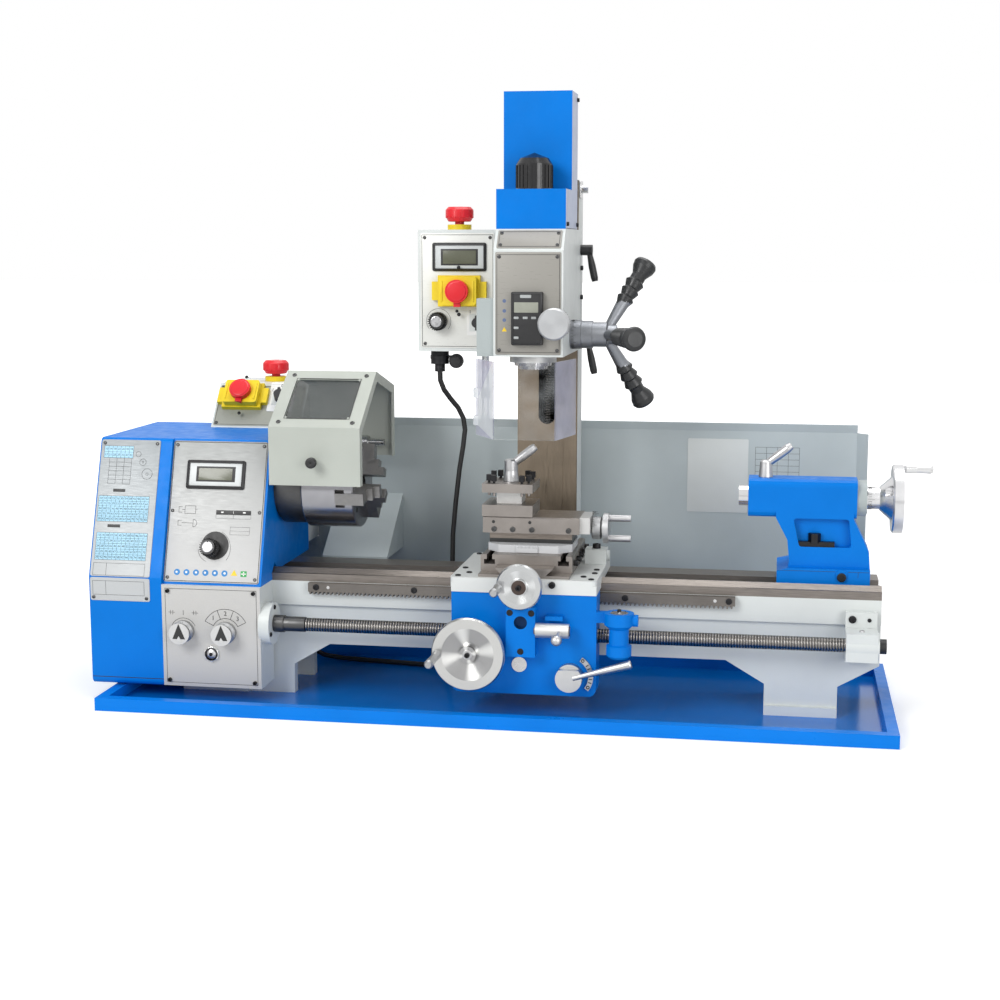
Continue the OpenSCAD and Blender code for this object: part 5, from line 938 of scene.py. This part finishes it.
piece("box_top_screws", pan_screws(spots((-0.0665, 0.0665), (-0.058, 0.050)), 0.003),
    top(HEADSTOCK_X, 0.2185, 0.453), steel)
box_back = back(HEADSTOCK_X, 0.280, 0.30)
louvres = [slab((-0.050, 0.009 * k - 0.001, -0.0002), (0.050, 0.009 * k + 0.003, 0.0016), 0.0012) for k in range(-6, 7)]
piece("box_louvres", louvres, box_back, pale)
piece("box_back_screws", pan_screws(spots((-0.066, 0.066), (-0.09, 0.14)), 0.003), box_back, steel)
lid_trim("lathe_lid", leaning(-0.44704, 0.13584, 0.43122, BOX_LEAN), "lathe_switch_lid")
stop_button_trim("lathe_stop", top(HEADSTOCK_X, 0.2165, 0.453), "lathe_stop_button")

# ---- the mill's control box ----
mill_box = front(-0.074, 0.020, 0.607)
piece("mill_panel", slab((-0.0560, -0.0850, 0), (0.0560, 0.0850, PLATE), 0.0004, 0.003), mill_box, box_silver)
piece("mill_panel_line", outline(0.0540, 0.0828, 0.0007, 0.0010, 0.0003), mill_box, print_black)
mill_screws = pan_screws(spots((-0.0495, 0.0495), (-0.0785, 0.0785)), 0.0026, PLATE)
piece("mill_panel_screws", mill_screws, mill_box, dark_steel)
display("mill_", mill_box, PLATE, 0.0035, (-0.0375, 0.029, 0.0440, 0.071), (-0.0336, 0.0330, 0.0402, 0.0670),
    (-0.0245, 0.0375, 0.0315, 0.0618), (-0.0215, 0.0400, 0.0285, 0.0595))
mill_knob = front(-0.1028, 0.020, 0.562)
speed_knob_trim("mill_knob", mill_knob, "mill_speed_knob")
piece("mill_knob_scale", arc(0.0185, -40, 220, 20, 0.0005, PLATE), mill_knob, print_black)
mill_rotary = front(-0.0428, 0.020, 0.5602)
mill_card = slab((-0.0170, -0.0190, PLATE), (0.0110, 0.0260, 0.0016), 0.0002, 0.001)
piece("mill_rotary_plate", mill_card, mill_rotary, white)
piece("mill_rotary_marks", [digits(mark, 0.007, x, y, 0.0017) for mark, x, y in
    (("1", -0.0120, 0.0160), ("0", 0.0, 0.0205))], mill_rotary, print_black)
lamp = sink(drum(-0.0010, -0.0300, PLATE, 0.0020, 0.0022, 0.0003, 24), 0.0019, 0.0008, 0.0003)
piece("mill_lamp", lamp, mill_box, black)
side_screws = pan_screws(spots((-0.035, 0.035), (-0.06, 0.06)), 0.0026)
piece("mill_box_side_screws", side_screws, left(-0.134, 0.0625, 0.607), steel)
lid_trim("mill_lid", front(-0.0704, 0.020, 0.607), "mill_switch_lid")
stop_button_trim("mill_stop", top(-0.0788, 0.0625, 0.697), "mill_stop_button")

# ---- the chuck's bolts, and the guard's window with its screws, seal and rounded corners ----
piece("chuck_bolts", around([socket_screw(0.0475, 0, 0.0042, -0.004)], 3, 101),
    right(-0.2182, 0, SPINDLE_Z), black_iron, "spindle")
guard_mid = leaning(-0.2665, -0.0415, 0.4485, math.degrees(math.atan2(0.107, 0.075)))
guard_screws = pan_screws(spots((-0.0560, 0.0560), (-0.0540, 0.0540)), 0.0034)
piece("guard_window_screws", guard_screws, guard_mid, dark_steel, "chuck_guard")
piece("guard_window_seal", outline(0.0500, 0.0463, 0.0010, 0.0, 0.0009), guard_mid, black, "chuck_guard")
corner = slab((-0.0022, -0.0022, 0.0), (0.0022, 0.0022, 0.0008), 0.0002)
corners = copies([corner], [top(x, y, 0) for x, y in spots((-0.0480, 0.0480), (-0.0443, 0.0443))])
piece("guard_window_corners", corners, guard_mid, guard_pale, "chuck_guard")

# ---- saddle and apron ----
saddle_points = [(-0.048, -0.118), (-0.036, -0.094), (-0.048, -0.060), (-0.048, 0.055), (0.145, -0.118),
    (0.132, -0.100), (0.145, -0.072), (0.145, -0.045), (0.145, 0.055)]
for name, points, radius, rise, place in (
        ("saddle_screws", saddle_points, 0.0042, -0.003, top(0, 0, 0.20305)),
        ("saddle_lock_screw", [(0.138, 0.015)], 0.0062, 0.0, top(0, 0, 0.225)),
        ("apron_boss_screws", [(0.0325, 0.1580), (0.0635, 0.1580), (0.0480, 0.1020)], 0.0047, -0.0045,
            front(0, -0.150, 0)),
        ("saddle_front_screw", [(0.0905, 0.1960)], 0.0048, -0.0010, front(0, -0.130, 0))):
    piece(name, cap_screws(points, radius, rise), place, black_iron, "carriage")
dial = top(0.187, -0.134, max(v.co.z for v in nodes["thread_dial"].data.vertices))
dial_numbers = [digits(str(2 * k + 1), 0.0052, *polar(0.0088, 90 - 90 * k), 0.0001) for k in range(4)]
piece("thread_dial_numbers", dial_numbers, dial, print_black, "thread_dial")
piece("thread_dial_screw", cap_screws([(0, 0)], 0.0028), dial, black_iron, "thread_dial")

# The quadrant behind the half nut lever, swept about the lever's axis, with its marks and screws
quadrant = slab((0.0265, -0.0010, 0.0003), (0.0335, 0.0, 0.0042), 0, 0, 1)
pick_faces(quadrant, lambda c, n: n.y > 0.9)
bpy.ops.mesh.spin(steps=16, angle=math.radians(-94), center=(0, 0, 0), axis=(0, 0, 1))
bpy.ops.mesh.select_all(action="SELECT")
bpy.ops.mesh.normals_make_consistent(inside=False)
leave()
lever_face = front(LEVER_X, -0.128, LEVER_Z)
piece("half_nut_quadrant", quadrant, lever_face @ turn(-36), lever_steel, "carriage")
quadrant_screws = cap_screws([polar(0.0300, angle) for angle in (-30, 52)], 0.0026, 0.0022)
piece("quadrant_screws", quadrant_screws, lever_face, black_iron, "carriage")
mark = strip((0.0275, -0.0007, 0.0042), (0.0325, 0.0007, 0.0044))
piece("quadrant_marks", copies([mark], [turn(a) for a in range(-16, 35, 10)]), lever_face, print_black, "carriage")

# ---- handwheels: cap and centre screw ----
for name, node, place, bore, cap_height, cap_radius, cap_edge, cap_finish, screw_radius, screw_rise in (
        ("apron_wheel", "apron_handwheel", front(WHEEL_X, -0.157, WHEEL_Z), 0.030, 0.0012, 0.0072, 0.0006,
            lever_steel, 0.0038, 0.0009),
        ("cross_wheel", "cross_handwheel", front(CROSS_X, -0.158, CROSS_Z), 0.012, 0.0010, 0.0105, 0.0004,
            washer_brown, 0.0040, 0.0012)):
    face = tip_range(node, place, within(bore))[1]
    piece(name + "_cap", drum(0, 0, face - 0.0002, face + cap_height, cap_radius, cap_edge), place, cap_finish, node)
    piece(name + "_screw", cap_screws([(0, 0)], screw_radius, face + screw_rise), place, black_iron, node)

# ---- slides and swivel: gib screws, oil holes, the swivel's scale and bolts ----
gibs = cap_screws([(-0.075 + 0.034 * k, 0.2185) for k in range(5)], 0.0044, 0.0012)
piece("cross_gib_screws", gibs, right(0.115, 0, 0), black_iron, "cross_slide")
slide_front, swivel_front = front(0, -0.060, 0), front(0, -0.075, 0)
top_gibs = cap_screws([(x, 0.2628) for x in (-0.0052, 0.0223, 0.0506, 0.1048)], 0.0040, -0.0020)
piece("top_gib_screws", top_gibs, slide_front, dark_steel, "top_slide")
oil_holes = [drum(x, 0.2735, -0.0005, 0.0002, 0.0024, 0, 24) for x in (-0.0061, 0.0477)]
piece("top_oil_holes", oil_holes, slide_front, print_black, "top_slide")
scale_plate = slab((0.0300, 0.2315, 0), (0.0620, 0.2415, 0.0028), 0.0005, 0.001)
piece("swivel_scale", scale_plate, swivel_front, plate_light, "swivel_base")
ticks = [(0.0320 + 0.0020 * k, 0.2380, 0.0323 + 0.0020 * k, 0.2410 if k % 5 else 0.2400) for k in range(15)]
piece("swivel_marks", bars(ticks, 0.0028, 0.0001), swivel_front, print_black, "swivel_base")
swivel_bolts = cap_screws([(CROSS_X + x, -0.022) for x in (-0.0560, 0.0560)], 0.0052, -0.001)
piece("swivel_bolts", swivel_bolts, top(0, 0, 0.242), black_iron, "swivel_base")
piece("slide_collar_marks", rim_marks(0.01705, 40, 0.0005, 0.0120, 0.7), right(0.135, -0.022, 0.2691),
    print_black, "top_slide_handle")

# ---- tailstock ----
piece("tail_cap_screws", around([socket_screw(0.0200, 0, 0.0026, -0.0015)], 3, 30),
    right(0.5305, 0, SPINDLE_Z), black_iron, "tailstock")
piece("tail_collar_marks", rim_marks(0.01605, 40, 0.0012, 0.0150, 0.7),
    right(0.531, 0, SPINDLE_Z), print_black, "tailstock_handwheel")
quill_axis = right(0, 0, SPINDLE_Z)
face = tip_range("tailstock_handwheel", quill_axis, within(0.012))[1]
piece("tail_wheel_nut", [drum(0, 0, face - 0.0003, face + 0.0050, 0.0085, 0.0008, 6),
    drum(0, 0, face + 0.0045, face + 0.0085, 0.0042, 0.0008, 24)], quill_axis, steel, "tailstock_handwheel")
foot_front = front(0, -0.040, 0)
base_screw = cap_screws([(0.4970, 0.2030)], 0.0066, -0.0045)
piece("tail_base_screw", base_screw, foot_front @ top(0, 0, 0.0016), black_iron, "tailstock")
piece("tail_base_line", bars([(0.4060, 0.2105, 0.4880, 0.2110), (0.5060, 0.2105, 0.5360, 0.2110),
    (0.5200, 0.2030, 0.5205, 0.2105)]), foot_front, print_black, "tailstock")

# ---- mill head: front plates, a black digital readout with a sunk window and keys, small marks ----
head_front = front(MILL_X, -0.090, 0.590)
head_brow = leaning(MILL_X, -0.078, 0.682, math.degrees(math.atan2(24, 30)))
for name, place, half_x, y0, y1, line_x, line_y, lift, screws, radius in (
        ("head_plate", head_front, 0.0470, -0.0700, 0.0745, 0.0450, 0.0690, 0.0022,
            spots((-0.0415, 0.0415), (-0.0635, 0.0680)), 0.0026),
        ("brow_plate", head_brow, 0.0460, -0.0160, 0.0160, 0.0435, 0.0135, 0.0,
            spots((-0.0405, 0.0405), (-0.0105, 0.0105)), 0.0024)):
    prefix = "head_plate" if name == "head_plate" else "brow"
    piece(name, slab((-half_x, y0, 0), (half_x, y1, PLATE), 0.0004, 0.002), place, head_silver, "mill_head")
    line_place = place @ top(0, lift, 0)
    piece(prefix + "_line", outline(line_x, line_y, 0.0006, PLATE), line_place, print_black, "mill_head")
    piece(prefix + "_screws", pan_screws(screws, radius, PLATE), place, dark_steel, "mill_head")
readout = slab((-0.0230, -0.0560, PLATE), (0.0220, 0.0190, 0.0110), 0.0012, 0.002)
piece("readout_case", sink(readout, 0.0109, 0.0024, 0.0005, 0.95), head_front, black, "mill_head")
readout_window = slab((-0.0185, -0.0100, 0.0105), (0.0160, 0.0045, 0.0110), 0.0003, 0.001)
piece("readout_glass", readout_window, head_front, readout_glass, "mill_head")
keys = [slab((-0.0100, 0.0105, 0.0105), (0.0060, 0.0150, 0.0112), 0.0003, 0.0012)]
keys += [slab((x, y, 0.0105), (x + 0.0070, y + 0.0034, 0.0112), 0.0003, 0.0010) for x, y in
    ((-0.0190, -0.0190), (-0.0060, -0.0190), (0.0060, -0.0190), (-0.0190, -0.0330), (-0.0190, -0.0470))]
piece("readout_keys", keys, head_front, key_grey, "mill_head")
head_marks = [drum(-0.0340, y, PLATE, PLATE + INK, 0.0026, 0, 32) for y in (0.0060, -0.0080, -0.0210)]
piece("head_blue_marks", head_marks, head_front, mark_blue, "mill_head")
head_triangle = drum(-0.0340, -0.0350, PLATE, PLATE + INK, 0.0042, 0, 3)
piece("head_yellow_mark", head_triangle, head_front, print_yellow, "mill_head")

# The head's right side, the motor's ring, and the feed hub with its dials
head_side = right(0.099, 0, 0)
piece("cover_side_seam", bars([(-0.0655, 0.6975, 0.0655, 0.6983)]), head_side, print_black, "mill_head")
cover_screws = cap_screws([(-0.055, 0.704), (0.057, 0.704), (0.057, 0.885)], 0.0030)
piece("cover_side_screws_low", cover_screws, head_side, black_iron, "mill_head")
head_gibs = cap_screws(spots((0.113,), (0.552, 0.596, 0.640)), 0.0036)
piece("head_gib_screws", head_gibs, head_side, black_iron, "mill_head")
motor_ring = drum(0, 0, 0.0, 0.0030, 0.0250, 0.0008, 48)
piece("motor_cap_ring", motor_ring, top(MILL_X, -0.033, 0.753), black_iron, "mill_head")
piece("hub_dial_marks", rim_marks(0.02105, 60, 0.0015, 0.0140, 0.6), right(0.0995, 0, HUB_Z), print_black, "mill_head")
hub_axis = right(0, 0, HUB_Z)
face = tip_range("quill_feed_hub", hub_axis, within(0.012))[1]
clutch = sink(drum(0, 0, face - 0.0003, face + 0.0025, 0.0105, 0.0010), face + 0.0024, 0.0030, 0.0008)
piece("hub_clutch_cap", clutch, hub_axis, black, "quill_feed_hub")
fine = front(FINE_X, -0.090, FINE_Z)
low, high = tip_range("fine_feed_knob", fine, lambda p: math.hypot(p.x, p.y) > 0.018)
piece("fine_knob_marks", rim_marks(0.02255, 40, low + 0.0015, high - 0.001, 0.55), fine, print_black, "fine_feed_knob")

# ---- column, leadscrew ends, rack and feet ----
hanger_screws = cap_screws([(0.5125, 0.1510)], 0.0054, -0.0035)
hanger_screws += cap_screws([(0.5360, 0.1505), (0.5125, 0.0935)], 0.0028, -0.0015)
hanger_screws += cap_screws([(0.5370, 0.0940)], 0.0048, -0.0035)
rack_points = [(-0.2716, 0.1700), (-0.1221, 0.1705), (0.1899, 0.1700), (0.3389, 0.1700)]
for name, screws, place in (
        ("column_top_screws", cap_screws([(-0.033, 0.158), (0.033, 0.158)], 0.0042), top(MILL_X, 0, 0.772)),
        ("hanger_screws", hanger_screws, front(0, -0.0815, 0)),
        ("rack_screws", cap_screws(rack_points, 0.0046, -0.0030), front(0, -0.0785, 0)),
        ("flange_screws", around([socket_screw(0.0245, 0, 0.0034, -0.0018)], 3, 90),
            right(-0.3285, LEADSCREW_Y, LEADSCREW_Z)),
        ("foot_screws", cap_screws(spots((-0.435, 0.443), (-0.030, 0.030)), 0.0085), top(0, 0, 0.02))):
    piece(name, screws, place, black_iron)
piece("crank_plate", slab((0.131, 0.745, 0.0), (0.159, 0.7715, 0.0010), 0.0003, 0.002), right(0.095, 0, 0), steel)
oiler = sink(drum(0.0, 0.0, -0.0005, 0.0018, 0.0036, 0.0006, 24), 0.0017, 0.0012, 0.0008)
piece("hanger_oiler", oiler, top(0.5250, LEADSCREW_Y, 0.139), lever_steel)
rack_pins = [drum(x, 0.1700, -0.001, 0.0004, 0.0024, 0.0003, 20) for x in (-0.2531, 0.3190)]
piece("rack_pins", rack_pins, front(0, -0.0785, 0), steel)
coupling = [drum(0, 0, 0.0, 0.0160, 0.0128, 0.0010, 48), drum(0, 0, 0.0160, 0.0480, 0.0112, 0.0010, 48)]
piece("screw_coupling", coupling, right(-0.3280, LEADSCREW_Y, LEADSCREW_Z), dark_steel, "leadscrew")

# ---- splash guard: a bare plate, an empty table, and the plate that closes its left end ----
guard_front = front(0, 0.1935, 0)
piece("guard_plate", slab((0.262, 0.256, 0), (0.357, 0.373, 0.0008), 0.0002, 0.002), guard_front, pale)
piece("guard_table", grid(0.368, 0.284, 0.436, 0.361, 4, 8, 0, 0.0004), guard_front, print_black)
piece("guard_end_plate", [slab((-0.4100, 0.0205, 0), (-0.3397, 0.1990, 0.0015), 0.0003, 0, 1),
    slab((-0.3436, 0.1990, 0), (-0.3397, 0.3850, 0.0015), 0, 0, 1)], front(0, 0.1950, 0), splash_grey)

# ---- backdrop: a soft room for the light, and a white one for what the camera, metal and glass see ----
world = bpy.data.worlds.new("studio")
bpy.context.scene.world = world
world.use_nodes = True
sky = Tree(world.node_tree)
room = world.node_tree.nodes["Background"]
room.inputs["Color"].default_value = (1, 1, 1, 1)
room.inputs["Strength"].default_value = 0.40
backdrop = sky.add("Background", {"Color": (1, 1, 1, 1), "Strength": 1.0})
path = sky.add("LightPath").outputs
seen = sky.maths("MAXIMUM", path["Is Camera Ray"], path["Is Glossy Ray"])
seen = sky.maths("MAXIMUM", seen, path["Is Transmission Ray"])
chosen = sky.add("MixShader", {"Fac": seen, 1: room.outputs["Background"], 2: backdrop.outputs["Background"]})
sky.feed(world.node_tree.nodes["World Output"].inputs["Surface"], chosen.outputs["Shader"])

# ---- floor: pale near the machine, where it keeps the shadow, and white far from it ----
take(camera)
bpy.ops.mesh.primitive_plane_add(size=60, location=(0, 0, -0.0002))
floor = bpy.context.object
floor.name = "floor"
ground = Finish("floor_white")
reach = ground.add("VectorMath", {0: ground.here}, operation="LENGTH").outputs["Value"]
glow = ground.add("MapRange", {"From Min": 0.8, "From Max": 3.0, "To Min": 0.30, "To Max": 1.0, "Value": reach})
direct = ground.add("LightPath").outputs["Is Camera Ray"]
for socket, value in (("Base Color", (0.84, 0.84, 0.84, 1)), ("Roughness", 0.9), ("Specular IOR Level", 0.1),
        ("Emission Color", (1, 1, 1, 1)),
        ("Emission Strength", ground.maths("MULTIPLY", glow.outputs["Result"], direct))):
    ground.feed(ground.surface[socket], value)
floor.data.materials.append(ground.material)

# ---- three softboxes ----
for name, place, aim, size, power in (
        ("key_softbox", (-1.5, -2.4, 1.9), (0, 0, 0.3), 1.4, 62),
        ("fill_softbox", (2.0, -2.3, 0.9), (0, 0, 0.25), 1.5, 30),
        ("overhead_softbox", (0.1, 0.4, 2.6), (0, 0, 0.2), 1.8, 36)):
    take(camera)
    bpy.ops.object.light_add(type="AREA", location=place)
    light = bpy.context.object
    light.name = name
    light.data.shape = "RECTANGLE"
    light.data.size = light.data.size_y = size
    light.data.energy = power
    light.rotation_euler = (Vector(place) - Vector(aim)).to_track_quat("Z", "Y").to_euler()
